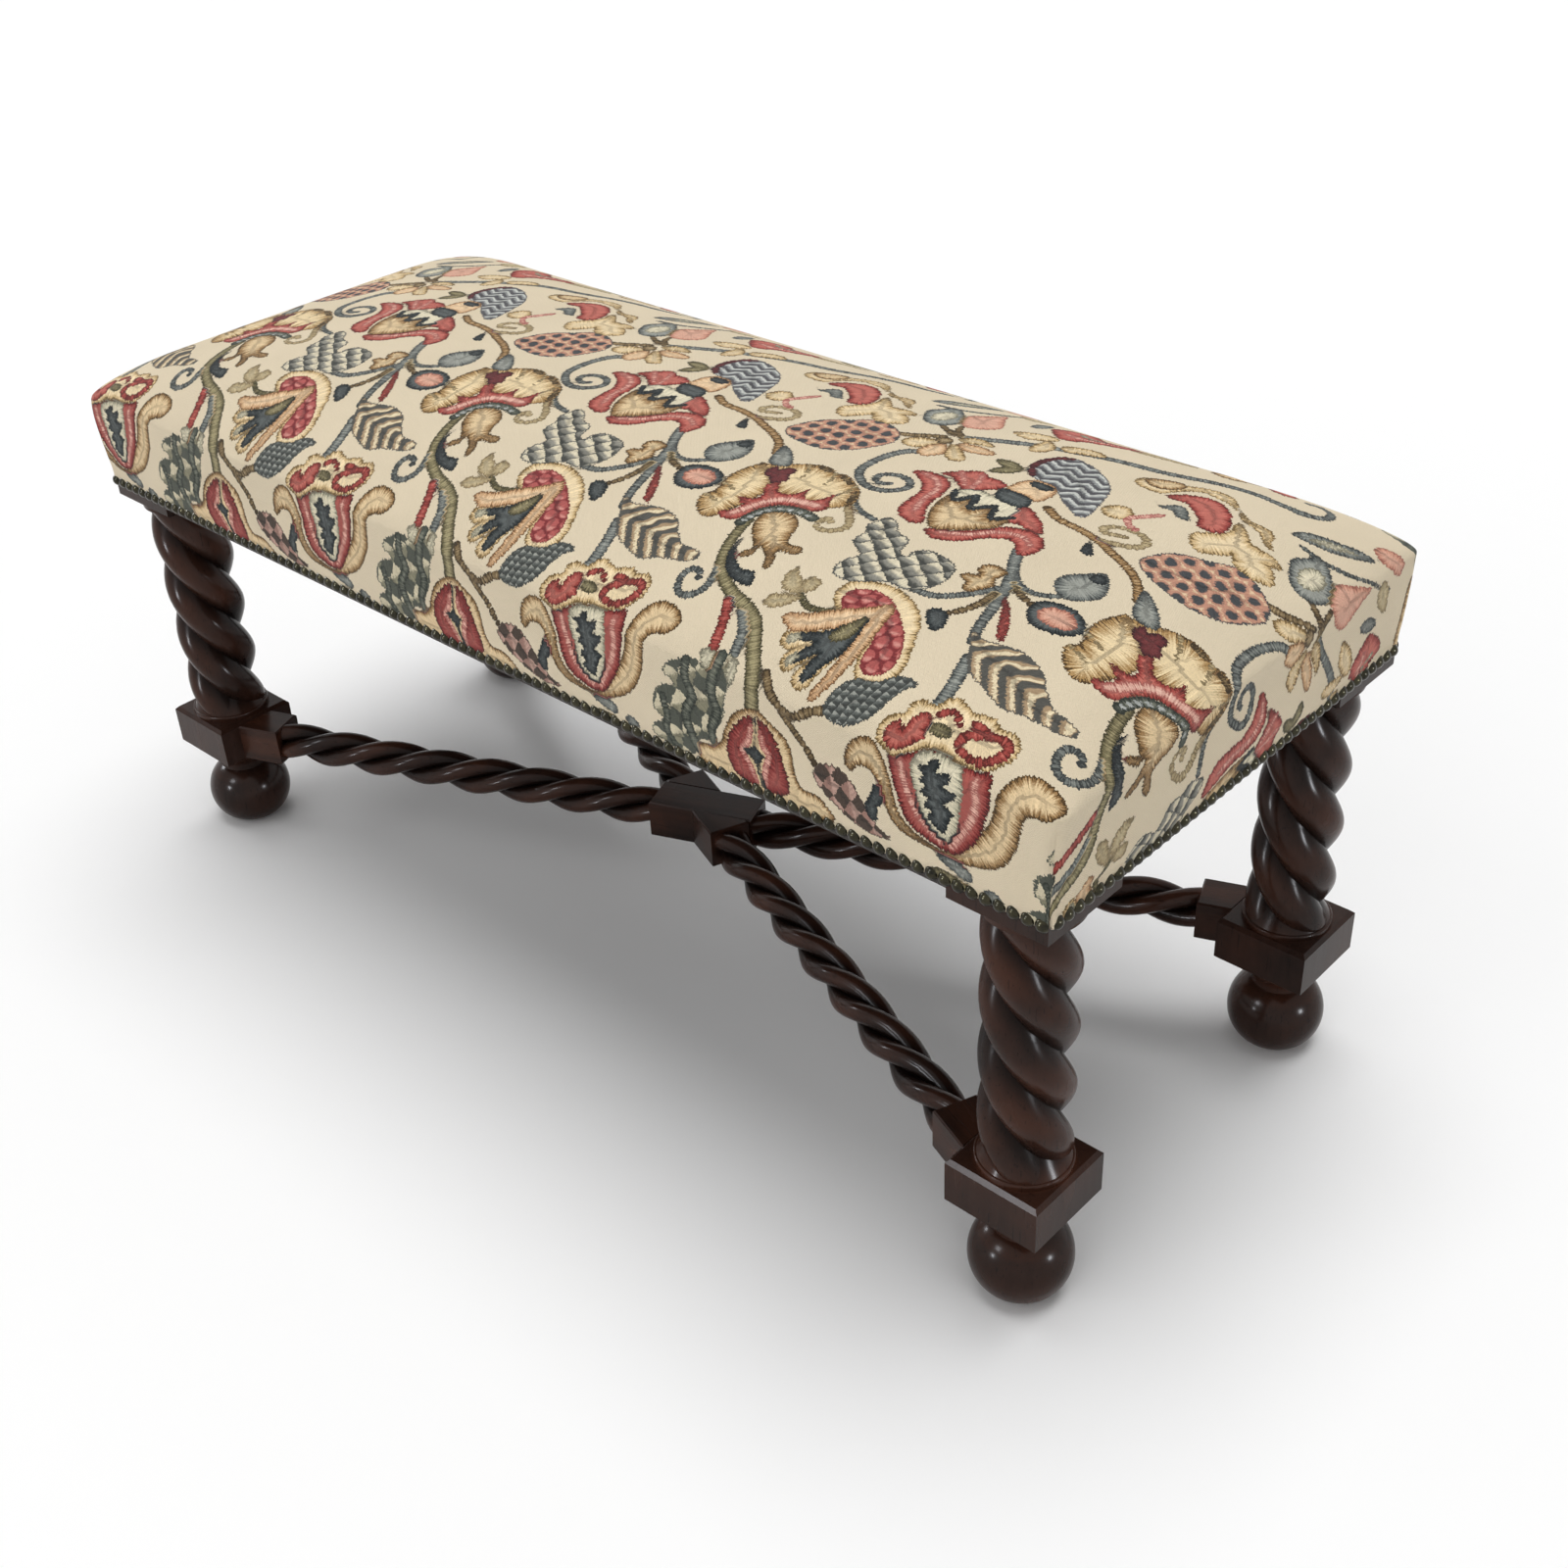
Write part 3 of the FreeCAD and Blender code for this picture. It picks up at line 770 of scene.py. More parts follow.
class CrewelPattern:
    """A traditional crewelwork of scrolling stems, leaves and large flowers.

    The shapes are drawn once, in millimetres on the cloth, and repeat
    along and across it. REPEAT is the size of the repeat. Depths are kept down to
    REACH outside a shape, and its shading is widened only from RIM inwards.
    """

    REPEAT = (322.0, 536.0)
    REACH = 14.0
    RIM = 1.3

    TULIP = (
        leaf(Thread.OCHRE, soft=1.2, outline="""
            54,-269 57,-258 64,-249 73,-244 82,-245 88,-254 92,-266 95,-280 101,-292 112,-300 126,-304
            140,-305 132,-308 116,-307 103,-305 93,-298 88,-288 82,-276 76,-269 70,-268 64,-270 60,-276
            55,-274"""),
        leaf(Thread.OCHRE, soft=1.3, outline="""
            133,-306 146,-305 160,-299 172,-291 180,-281 186,-266 189,-252 192,-241 198,-235 208,-232
            214,-224 213,-217 203,-211 190,-211 181,-218 175,-231 172,-246 168,-260 160,-274 150,-288
            140,-299"""),
        leaf(Thread.TULIP, """
            93,-249 106,-244 119,-237 135,-233 149,-232 158,-230 165,-226 168,-235 169,-245 165,-260
            160,-277 152,-291 144,-300 131,-303 114,-299 103,-290 97,-276 94,-262""", Layer.OVER),
        stem(Thread.PINK, 6, 5, "103,-250 104,-262 108,-275 116,-287 127,-295 134,-298", Layer.DETAIL),
        stem(Thread.PINK, 6, 5, "158,-236 159,-250 156,-264 149,-281 141,-296", Layer.DETAIL),
        leaf(Thread.PALE, """
            113,-244 119,-238 131,-235 144,-234 149,-238 150,-251 148,-261 146,-274 143,-288 137,-295
            126,-292 117,-281 113,-267 111,-254""", Layer.DETAIL),
        leaf(Thread.NAVY, """
            127,-240 133,-241 132,-247 142,-243 139,-251 135,-256 145,-255 142,-262 135,-269 142,-271
            139,-280 136,-290 129,-289 123,-284 127,-280 120,-277 124,-271 118,-268 122,-262 116,-258
            123,-254 116,-249 124,-246""", Layer.TOP),
        leaf(Thread.CREAM, """
            92,-248 82,-242 80,-231 86,-223 93,-220 93,-212 100,-207 110,-208 114,-201 122,-197 133,-201
            139,-198 148,-196 156,-199 164,-196 171,-202 172,-212 168,-220 162,-227 149,-232 135,-233
            119,-236 106,-244 98,-249""", Layer.DETAIL),
        leaf(Thread.RED, """
            85,-236 87,-228 93,-225 97,-230 100,-220 107,-214 113,-218 113,-226 114,-232 108,-237 103,-242
            95,-245 88,-242""", Layer.TOP),
        stem(Thread.RED, 6, 5, "116,-212 121,-208 126,-208 132,-213", Layer.TOP),
        stem(Thread.RED, 7, 6, "141,-207 147,-206 152,-209", Layer.TOP),
        stem(Thread.RED, 6, 6, """
            140,-226 150,-227 160,-222 166,-212 164,-205 156,-206 146,-211 139,-217
            137,-224""", Layer.TOP),
        leaf(Thread.OLIVE, oval(122, -222, 9, 4.6), Layer.TOP),
        leaf(Thread.SLATE, "129,-310 138,-306 150,-306 155,-312 150,-319 142,-317 134,-314"),
        leaf(Thread.SLATE, "161,-319 166,-313 173,-315 175,-321 166,-325"),
        leaf(Thread.OLIVE, "120,-328 130,-322 142,-321 152,-324 150,-333 125,-333"),
    )

    SEED_POD = (
        leaf(Thread.OCHRE, """
            298,-260 310,-266 322,-273 329,-283 332,-298 338,-307 350,-307 358,-313 362,-325 330,-334
            280,-334 240,-326 236,-314 241,-307 254,-304 263,-297 267,-286 273,-274 284,-265"""),
        leaf(Thread.TULIP, """
            293,-267 284,-272 275,-281 269,-294 268,-308 272,-322 284,-326 292,-324 293,-311 288,-301
            284,-295 290,-290 292,-279""", Layer.OVER, 2.2),
        leaf(Thread.TULIP, """
            298,-267 306,-270 315,-279 321,-292 325,-306 322,-319 311,-325 300,-324 299,-313 306,-299
            309,-290 302,-286 299,-278""", Layer.OVER, 2.2),
        stem(Thread.PINK, 5, 5, "291,-276 289,-288 283,-296 289,-306 292,-320", Layer.DETAIL),
        stem(Thread.PINK, 5, 5, "300,-278 303,-287 308,-292 304,-304 300,-320", Layer.DETAIL),
        leaf(Thread.NAVY, """
            284,-295 293,-290 294,-268 296,-268 296,-289 304,-295 299,-302 300,-324 296,-324
            295,-304""", Layer.TOP),
        stem(Thread.OLIVE, 8, 13, """
            197,-122 200,-140 206,-158 215,-172 235,-185 255,-192 270,-201 281,-217 290,-231 295,-244
            294,-260"""),
        stem(Thread.SLATE, 8, 8, "254,-195 266,-210 270,-228"),
        stem(Thread.RED, 9, 8, "239,-192 247,-210 251,-227"),
        stem(Thread.BROWN, 7, 6, "302,-231 311,-242 324,-251 334,-252 348,-243 358,-239"),
        stem(Thread.BROWN, 6, 5, "322,-254 336,-268 349,-282"),
    )

    FRONT_LEAVES = (
        figured(Thread.POD, Figure.CHECK, 11, -38, """
            26,-289 33,-281 44,-278 55,-281 64,-288 71,-297 81,-310 92,-316 81,-319 67,-319 53,-313
            39,-304 30,-297"""),
        leaf(Thread.NAVY, "71,-299 76,-286 81,-277 87,-286 82,-295 81,-305 76,-306"),
        figured(Thread.SCALED, Figure.BRICK, 6, 70, """
            34,-238 37,-221 46,-211 60,-208 72,-199 82,-197 90,-200 82,-206 77,-217 71,-231 60,-241
            46,-244"""),
        figured(Thread.WINGED, Figure.CHECK, 15, 72, """
            257,-231 271,-229 277,-243 273,-251 267,-265 265,-279 258,-290 252,-301 241,-304 233,-320
            220,-325 191,-320 195,-308 206,-301 197,-294 197,-283 204,-274 218,-269 208,-261 215,-251
            229,-244 241,-240 254,-245"""),
        stem(Thread.MOSS, 8, 10, "233,-244 230,-258 235,-272 229,-287 233,-302 239,-318", Layer.PETALS),
        stem(Thread.MOSS, 10, 8, "261,-232 259,-246 255,-262 259,-277 254,-290 255,-300", Layer.PETALS),
        stem(Thread.MOSS, 7, 7, "206,-282 210,-296 207,-308 212,-321", Layer.PETALS),
        leaf(Thread.PALE, "242,-234 248,-230 255,-232 255,-244 249,-243"),
        leaf(Thread.PALE, "270,-230 276,-231 279,-243 274,-249 270,-240"),
    )

    CHEVRON_LEAF = (
        figured(Thread.CHEVRON, Figure.CHEVRON, 15, -7, """
            90,-140 100,-144 112,-142 122,-140 135,-140 148,-145 158,-155 168,-163 180,-164 188,-165
            190,-170 182,-176 170,-178 158,-182 146,-187 134,-184 122,-180 112,-175 104,-166 98,-155
            92,-147"""),
        stem(Thread.SLATE, 9, 10, "104,-165 109,-182 111,-196 111,-208"),
        leaf(Thread.RED, "83,-97 90,-102 98,-112 106,-125 112,-140 105,-136 98,-125 91,-112 85,-103"),
        stem(Thread.SLATE, 9, 7, "56,-45 62,-58 70,-72 78,-90 84,-110 90,-135 96,-150"),
        stem(Thread.BROWN, 6, 5, "76,-98 75,-115 70,-128 64,-136"),
        leaf(Thread.NAVY, "52,-140 58,-134 66,-137 71,-146 70,-155 64,-154 56,-147"),
        stem(Thread.SLATE, 6, 6, "30,-127 45,-125 58,-115 68,-102 74,-92"),
        stem(Thread.SLATE, 5, 5, "70,-68 80,-78 92,-82 102,-79 110,-73"),
        stem(Thread.BROWN, 5, 5, "76,-78 88,-88 100,-93"),
        leaf(Thread.OCHRE, """
            60,-70 50,-73 49,-82 55,-87 46,-90 45,-96 52,-99 54,-106 60,-108 66,-100 70,-92 66,-84
            68,-74"""),
        leaf(Thread.NAVY, """
            102,-92 106,-84 116,-80 128,-80 138,-85 143,-93 140,-102 132,-110 120,-113 110,-110
            104,-102"""),
        leaf(Thread.BLUSH, oval(123, -95, 14, 10.5), Layer.OVER),
        leaf(Thread.SLATE, """
            115,-28 122,-34 128,-44 130,-55 126,-64 118,-72 110,-73 102,-68 96,-58 98,-48
            106,-38""", soft=1.6),
        leaf(Thread.NAVY, "110,-36 116,-31 122,-36 120,-42 113,-42", Layer.OVER),
    )

    DROOPING_FLOWER = (
        leaf(Thread.CAP, """
            148,-56 155,-52 163,-47 170,-42 180,-35 190,-31 200,-31 206,-35 213,-33 222,-36 230,-41
            238,-46 244,-55 247,-66 243,-75 230,-84 205,-86 185,-84 165,-76""", soft=3.4),
        leaf(Thread.CAP, """
            150,-56 144,-66 142,-80 144,-92 147,-104 142,-112 146,-122 154,-130 163,-133 171,-128 178,-110
            182,-85 178,-68 165,-58""", soft=3.0),
        *(stem(Thread.FAWN, 4, 2, vein, Layer.OVER) for vein in (
            "206,-36 210,-46 211,-54",
            "231,-43 232,-52 230,-60",
            "181,-37 187,-46 190,-56",
            "146,-92 154,-94 161,-97",
            "144,-111 152,-112 160,-115",
        )),
        stem(Thread.BROWN, 5, 4, "190,-34 196,-35 201,-35", Layer.OVER),
        stem(Thread.BROWN, 5, 4, "213,-37 219,-39 225,-42", Layer.OVER),
        stem(Thread.BROWN, 4, 4, "236,-50 240,-56 243,-64", Layer.OVER),
        leaf(Thread.RED, """
            179,-64 184,-73 190,-81 199,-81 205,-74 207,-65 211,-77 219,-79 225,-71 228,-61 232,-72
            236,-80 235,-88 224,-92 212,-93 202,-97 196,-105 192,-118 184,-127 176,-128 169,-123 177,-117
            179,-109 168,-101 180,-99 183,-90 176,-80""", Layer.OVER),
        leaf(Thread.MAROON, """
            159,-60 162,-53 168,-54 173,-48 180,-50 180,-57 184,-64 181,-71 175,-74 169,-68
            162,-66""", Layer.DETAIL),
        stem(Thread.PINK, 8, 7, "229,-82 214,-84 201,-88 191,-98 185,-110 179,-121", Layer.DETAIL),
        stem(Thread.MOSS, 9, 8, "237,-97 224,-95 210,-98 200,-105 195,-115 193,-126", Layer.DETAIL),
        *(leaf(Thread.BEAD, oval(u, v, 1.9, 1.8), Layer.TOP) for u, v in points(
            "232,-96 224,-95 216,-96.5 208,-99 202,-103.5 198,-109.5 195.5,-116 194,-122.5")),
        leaf(Thread.OCHRE, """
            202,-104 214,-100 226,-102 235,-111 238,-122 243,-130 253,-129 258,-133 255,-138 245,-139
            240,-140 246,-149 247,-158 243,-159 238,-150 230,-143 225,-142 227,-150 222,-156 217,-155
            218,-150 222,-145 215,-137 206,-128 201,-116""", soft=2.0),
        leaf(Thread.NAVY, """
            208,-138 211,-150 219,-160 230,-166 240,-164 246,-175 236,-177 222,-173 212,-163 207,-150"""),
        stem(Thread.SLATE, 6, 5, """
            206,-160 212,-175 214,-190 206,-200 196,-200 190,-190 192,-180 200,-179 203,-184"""),
        leaf(Thread.FAWN, "266,-146 264,-158 270,-168 284,-168 278,-156 272,-152"),
        leaf(Thread.FAWN, "283,-150 292,-152 293,-160 286,-166 281,-158"),
        leaf(Thread.FAWN, "264,-184 266,-176 276,-172 288,-170 282,-180 272,-186"),
        stem(Thread.OLIVE, 5, 5, "286,-168 298,-175 310,-174 320,-171"),
        stem(Thread.FAWN, 6, 5, """
            244,-66 252,-76 261,-85 265,-95 258,-104 248,-105 243,-98 246,-92 251,-94"""),
        stem(Thread.SLATE, 5, 5, "236,-50 246,-62 258,-70 274,-74"),
    )

    GRAPES = (
        figured(Thread.GRAPE, Figure.STUD, 13, -38, """
            280,-66 290,-68 300,-78 312,-82 316,-96 324,-100 324,-90 332,-84 344,-84 356,-88 362,-98
            362,-112 356,-124 346,-131 334,-130 322,-136 312,-142 300,-143 292,-140 290,-128 296,-116
            288,-110 280,-104 280,-92 276,-82"""),
    )

    SCROLLED_FLOWER = (
        leaf(Thread.CREAM, """
            308,-155 310,-145 318,-137 334,-133 350,-134 367,-142 380,-155 388,-172 394,-190 392,-203
            382,-211 368,-212 360,-200 356,-180 345,-165 326,-170 314,-165""", Layer.STEMS),
        figured(Thread.BERRY, Figure.BERRY, 11, -40, """
            316,-152 322,-146 334,-142 350,-146 368,-160 378,-170 386,-186 384,-200 372,-206 362,-198
            360,-180 350,-160 338,-160 326,-168 318,-162"""),
        leaf(Thread.SALMON, """
            352,-148 340,-158 322,-168 304,-179 290,-183 286,-188 292,-194 302,-196 320,-188 338,-177
            352,-166""", soft=1.3),
        leaf(Thread.SALMON, """
            346,-152 356,-152 359,-176 358,-200 354,-220 346,-236 341,-234 345,-216 347,-196
            346,-172""", soft=1.3),
        leaf(Thread.CREAM, """
            340,-178 322,-188 306,-192 297,-199 298,-207 306,-210 318,-204 332,-196""", Layer.STEMS),
        leaf(Thread.CREAM, """
            340,-186 326,-196 314,-203 307,-215 309,-223 316,-225 322,-217 330,-206
            340,-198""", Layer.STEMS),
        leaf(Thread.CREAM, """
            346,-190 336,-200 327,-212 322,-226 328,-233 336,-231 339,-220 343,-208
            348,-198""", Layer.STEMS),
        leaf(Thread.NAVY, """
            346,-166 334,-178 322,-189 308,-195 310,-201 322,-198 316,-208 314,-218 320,-216 330,-204
            328,-214 328,-226 335,-225 340,-210 347,-196""", Layer.OVER),
        leaf(Thread.PALE, "300,-200 307,-196 311,-199 304,-206", Layer.DETAIL),
        leaf(Thread.PALE, "310,-216 315,-209 318,-213 313,-222", Layer.DETAIL),
        leaf(Thread.OLIVE, "345,-166 334,-178 328,-190 336,-192 344,-184", Layer.DETAIL),
    )

    ZIGZAG_FLOWER = (
        leaf(Thread.RED, """
            248,2 252,8 264,10 274,8 284,0 288,-14 290,-30 296,-44 304,-56 296,-62 284,-58 276,-48 274,-34
            272,-20 264,-8 254,-2"""),
        leaf(Thread.RED, """
            266,13 270,20 277,27 285,33 292,33 297,29 305,31 313,28 316,22 308,12 301,5 297,-1 290,3 283,8
            275,12"""),
        stem(Thread.PINK, 5, 4, "276,24 284,16 291,8", Layer.OVER),
        stem(Thread.PINK, 5, 4, "291,30 295,20 298,8", Layer.OVER),
        leaf(Thread.PALE, "292,-2 300,8 314,8 330,8 346,4 350,-12 340,-26 320,-26 300,-22"),
        leaf(Thread.OCHRE, """
            292,-8 300,-18 306,-8 311,-3 316,-20 322,-14 328,-8 336,-23 348,-14 347,-30 336,-44 324,-54
            313,-59 304,-52 296,-38 292,-22""", Layer.OVER, 2.0),
        stem(Thread.NAVY, 5, 5, "291,-3 300,-15 309,-1 316,-19 328,-5 336,-21 347,-11", Layer.DETAIL),
        leaf(Thread.NAVY, "314,18 319,23 340,21 345,9 338,4 320,6", Layer.DETAIL),
        leaf(Thread.SALMON, "318,22 317,34 322,46 333,50 345,46 349,34 346,20 332,22", Layer.OVER),
        leaf(Thread.NAVY, oval(334, 43, 10, 5), Layer.TOP),
        leaf(Thread.RED, "342,8 348,10 358,4 368,-4 374,-12 376,-18 366,-18 354,-16 344,-22 340,-10"),
        leaf(Thread.RED, """
            310,-62 322,-70 338,-62 348,-50 358,-40 368,-38 376,-46 382,-50 388,-42 388,-30 382,-22
            372,-18 362,-19 350,-26 340,-40 328,-52"""),
        stem(Thread.PINK, 5, 5, "320,-60 338,-50 352,-34 368,-28 380,-34", Layer.OVER),
        stem(Thread.PINK, 5, 5, "256,5 270,2 280,-10 282,-28 288,-46", Layer.OVER),
        figured(Thread.SILVERED, Figure.ZIGZAG, 10, 8, """
            312,62 308,76 312,92 322,101 336,100 350,94 364,84 374,70 380,50 384,30 380,22 368,28 356,36
            346,44 330,50 318,52"""),
        stem(Thread.MAROON, 6, 5, "318,54 310,64 309,78 314,92 322,99", Layer.PETALS),
    )

    POMEGRANATE = (
        stem(Thread.OCHRE, 7, 7, "35,18 50,10 70,8 88,4 104,-3 120,-10 135,-20 146,-35"),
        leaf(Thread.SLATE, "142,-22 150,-24 160,-32 168,-42 168,-48 158,-52 150,-48 146,-38", Layer.OVER),
        leaf(Thread.NAVY, "83,1 88,-4 95,-14 92,-18 86,-15 84,-6"),
        stem(Thread.FAWN, 6, 5, "88,6 100,10 110,16 113,24 108,31 98,33 86,30 80,22 84,17 92,20 98,22"),
        figured(Thread.CHECK, Figure.SPOT, 13, -4, """
            121,5 128,-4 140,-8 158,-10 172,-8 184,0 192,8 200,22 204,34 200,46 190,54 178,58 164,57
            152,46 140,38 130,28 124,16"""),
        leaf(Thread.CREAM, "226,58 214,52 206,44 210,36 222,36 230,46 232,54"),
        leaf(Thread.SALMON, "230,50 226,36 232,28 240,30 246,40 242,50 236,55", Layer.OVER),
        leaf(Thread.CREAM, "240,56 246,42 256,34 266,40 260,48 250,56 243,60"),
        leaf(Thread.SALMON, "244,64 256,68 270,68 277,63 270,58 256,54 246,58", Layer.OVER),
        leaf(Thread.CREAM, "238,70 246,78 258,80 268,74 256,70 246,66"),
        leaf(Thread.BROWN, oval(232, 60, 7, 6), Layer.TOP),
        stem(Thread.BROWN, 7, 6, "196,48 206,52 218,60 228,66"),
        stem(Thread.SLATE, 8, 5, """
            230,32 222,26 216,12 214,-4 216,-20 226,-32 240,-38 254,-34 262,-22 256,-12 244,-10 234,-16
            234,-24 242,-28 248,-24"""),
        leaf(Thread.OLIVE, "282,58 290,63 300,62 308,57 300,52 290,52"),
        leaf(Thread.OLIVE, "290,38 298,40 306,48 308,56 298,54 291,46"),
    )

    BELL_FLOWER = (
        leaf(Thread.RED, """
            82,98 88,108 98,116 110,119 122,115 132,104 138,92 138,80 130,73 122,74 118,82 108,92 98,98
            90,96""", Layer.OVER),
        leaf(Thread.SLATE, "82,84 88,80 96,90 104,90 112,80 116,76 106,74 98,80 90,78", Layer.DETAIL),
        leaf(Thread.CREAM, """
            54,112 52,104 58,98 68,96 78,98 82,106 88,116 96,124 108,124 120,122 128,116 126,124 116,134
            104,136 90,130 76,120 64,118"""),
        leaf(Thread.OCHRE, "56,112 64,104 76,106 84,118 80,126 68,122", Layer.OVER),
        leaf(Thread.CREAM, """
            130,120 142,114 154,117 162,112 164,104 170,97 162,98 156,104 148,108 136,110"""),
        leaf(Thread.CREAM, soft=1.6, outline="""
            138,104 146,100 154,92 160,90 172,92 180,90 184,86 178,82 186,74 188,66 178,58 164,57 156,64
            148,54 140,47 130,52 126,62 132,72 140,84"""),
        stem(Thread.PINK, 5, 5, "98,68 90,56 84,46 90,38 96,36", Layer.DETAIL),
        leaf(Thread.CREAM, "62,48 66,56 76,60 84,52 82,42 72,38 64,42"),
        leaf(Thread.SLATE, """
            188,126 196,126 206,118 214,106 218,94 212,84 202,80 192,84 184,96 181,106 186,116"""),
        leaf(Thread.PALE, oval(199, 102, 9, 13), Layer.OVER),
        stem(Thread.BROWN, 5, 5, "210,84 220,78 230,74 240,74"),
        stem(Thread.BROWN, 5, 5, "224,92 228,82 236,75"),
        leaf(Thread.BLUSH, """
            212,120 220,132 228,146 234,134 242,122 247,110 240,98 228,93 218,98 212,110"""),
        stem(Thread.SLATE, 8, 6, """
            240,74 254,82 268,90 282,98 300,106 316,112 334,120 354,126 376,131 396,139 416,149 438,156
            460,159 478,166 488,178 486,190 476,194 469,187"""),
    )

    BACK_FLOWER = (
        leaf(Thread.CREAM, "258,112 268,122 282,128 293,124 287,114 272,106"),
        leaf(Thread.CREAM, "288,116 296,112 302,102 298,92 290,88 286,98", Layer.OVER),
        leaf(Thread.CREAM, "302,116 314,124 326,128 336,122 322,113 308,107"),
        leaf(Thread.RED, """
            268,150 275,139 287,129 298,131 307,140 320,147 334,155 344,163 330,166 314,161 305,164
            296,173 283,171 274,162""", Layer.OVER, 1.6),
        stem(Thread.PINK, 6, 4, "284,146 298,145 312,152 330,161", Layer.DETAIL),
        stem(Thread.PALE, 5, 3, "290,160 300,154 312,158", Layer.DETAIL),
        leaf(Thread.FAWN, "338,155 354,157 372,162 390,168 372,172 354,169 340,164"),
        leaf(Thread.OLIVE, "344,186 356,178 372,180 384,189 370,196 354,195"),
        leaf(Thread.OCHRE, "398,170 410,166 424,173 432,186 418,188 405,181"),
        leaf(Thread.RED, "436,189 444,179 455,179 460,189 450,197 440,197"),
        stem(Thread.BROWN, 5, 4, "384,188 398,194 414,198 432,196"),
        leaf(Thread.SLATE, "254,150 256,138 262,138 266,150 262,160"),
        leaf(Thread.SLATE, "166,128 180,132 194,142 206,156 212,168 198,162 182,150 170,140"),
        leaf(Thread.PALE, "176,134 186,140 196,150 202,158 192,153 182,145", Layer.OVER),
        stem(Thread.SLATE, 4, 3, "178,122 196,126 214,138 230,156 240,176"),
        leaf(Thread.FAWN, "228,164 238,158 250,162 258,172 248,176 236,174"),
        leaf(Thread.BLUSH, "204,178 214,172 226,178 232,190 220,194 208,188"),
    )

    MOTIFS: tuple[Motif, ...] = (
        TULIP + SEED_POD + FRONT_LEAVES + CHEVRON_LEAF + DROOPING_FLOWER + GRAPES
        + SCROLLED_FLOWER + ZIGZAG_FLOWER + POMEGRANATE + BELL_FLOWER + BACK_FLOWER
    )

    def lay(self, cloth: np.ndarray) -> dict[str, np.ndarray]:
        """Works out which shapes cover each point of the cloth. In each layer a
        point keeps the shape that it lies deepest in: its depth, the wool's
        number and how far along the edge it is. A figured shape also leaves two
        phases, that count its repeats along and across its length.

        Args:
            cloth: the points, (n, 2), in millimetres.

        Returns:
            For each layer, and for the figures, one vector a point.
        """
        laid = {layer: np.tile([-self.REACH, 0.0, 0.0], (len(cloth), 1)) for layer in Layer}
        figures = np.zeros((len(cloth), 3))
        repeat = np.array(self.REPEAT)
        for motif in self.MOTIFS:
            line = motif.curve()
            low, high = line.min(0), line.max(0)
            middle = (low + high) / 2
            folded = middle + (cloth - middle + repeat / 2) % repeat - repeat / 2
            near = np.flatnonzero((np.abs(folded - middle) < (high - low) / 2 + self.REACH).all(1))
            if not len(near):
                continue
            depth, along = motif.depth(folded[near], line)
            depth = np.minimum(depth, self.RIM) + np.maximum(depth - self.RIM, 0) / motif.soft
            layer = laid[motif.layer]
            won = depth > layer[near, 0]
            kept = near[won]
            layer[kept] = np.stack([depth[won], np.full(len(kept), motif.thread.number), along[won]], 1)
            if motif.figure:
                figures[kept] = motif.phases(folded[kept] - middle)
        return {layer.store: laid[layer] for layer in Layer} | {FIGURES: figures}


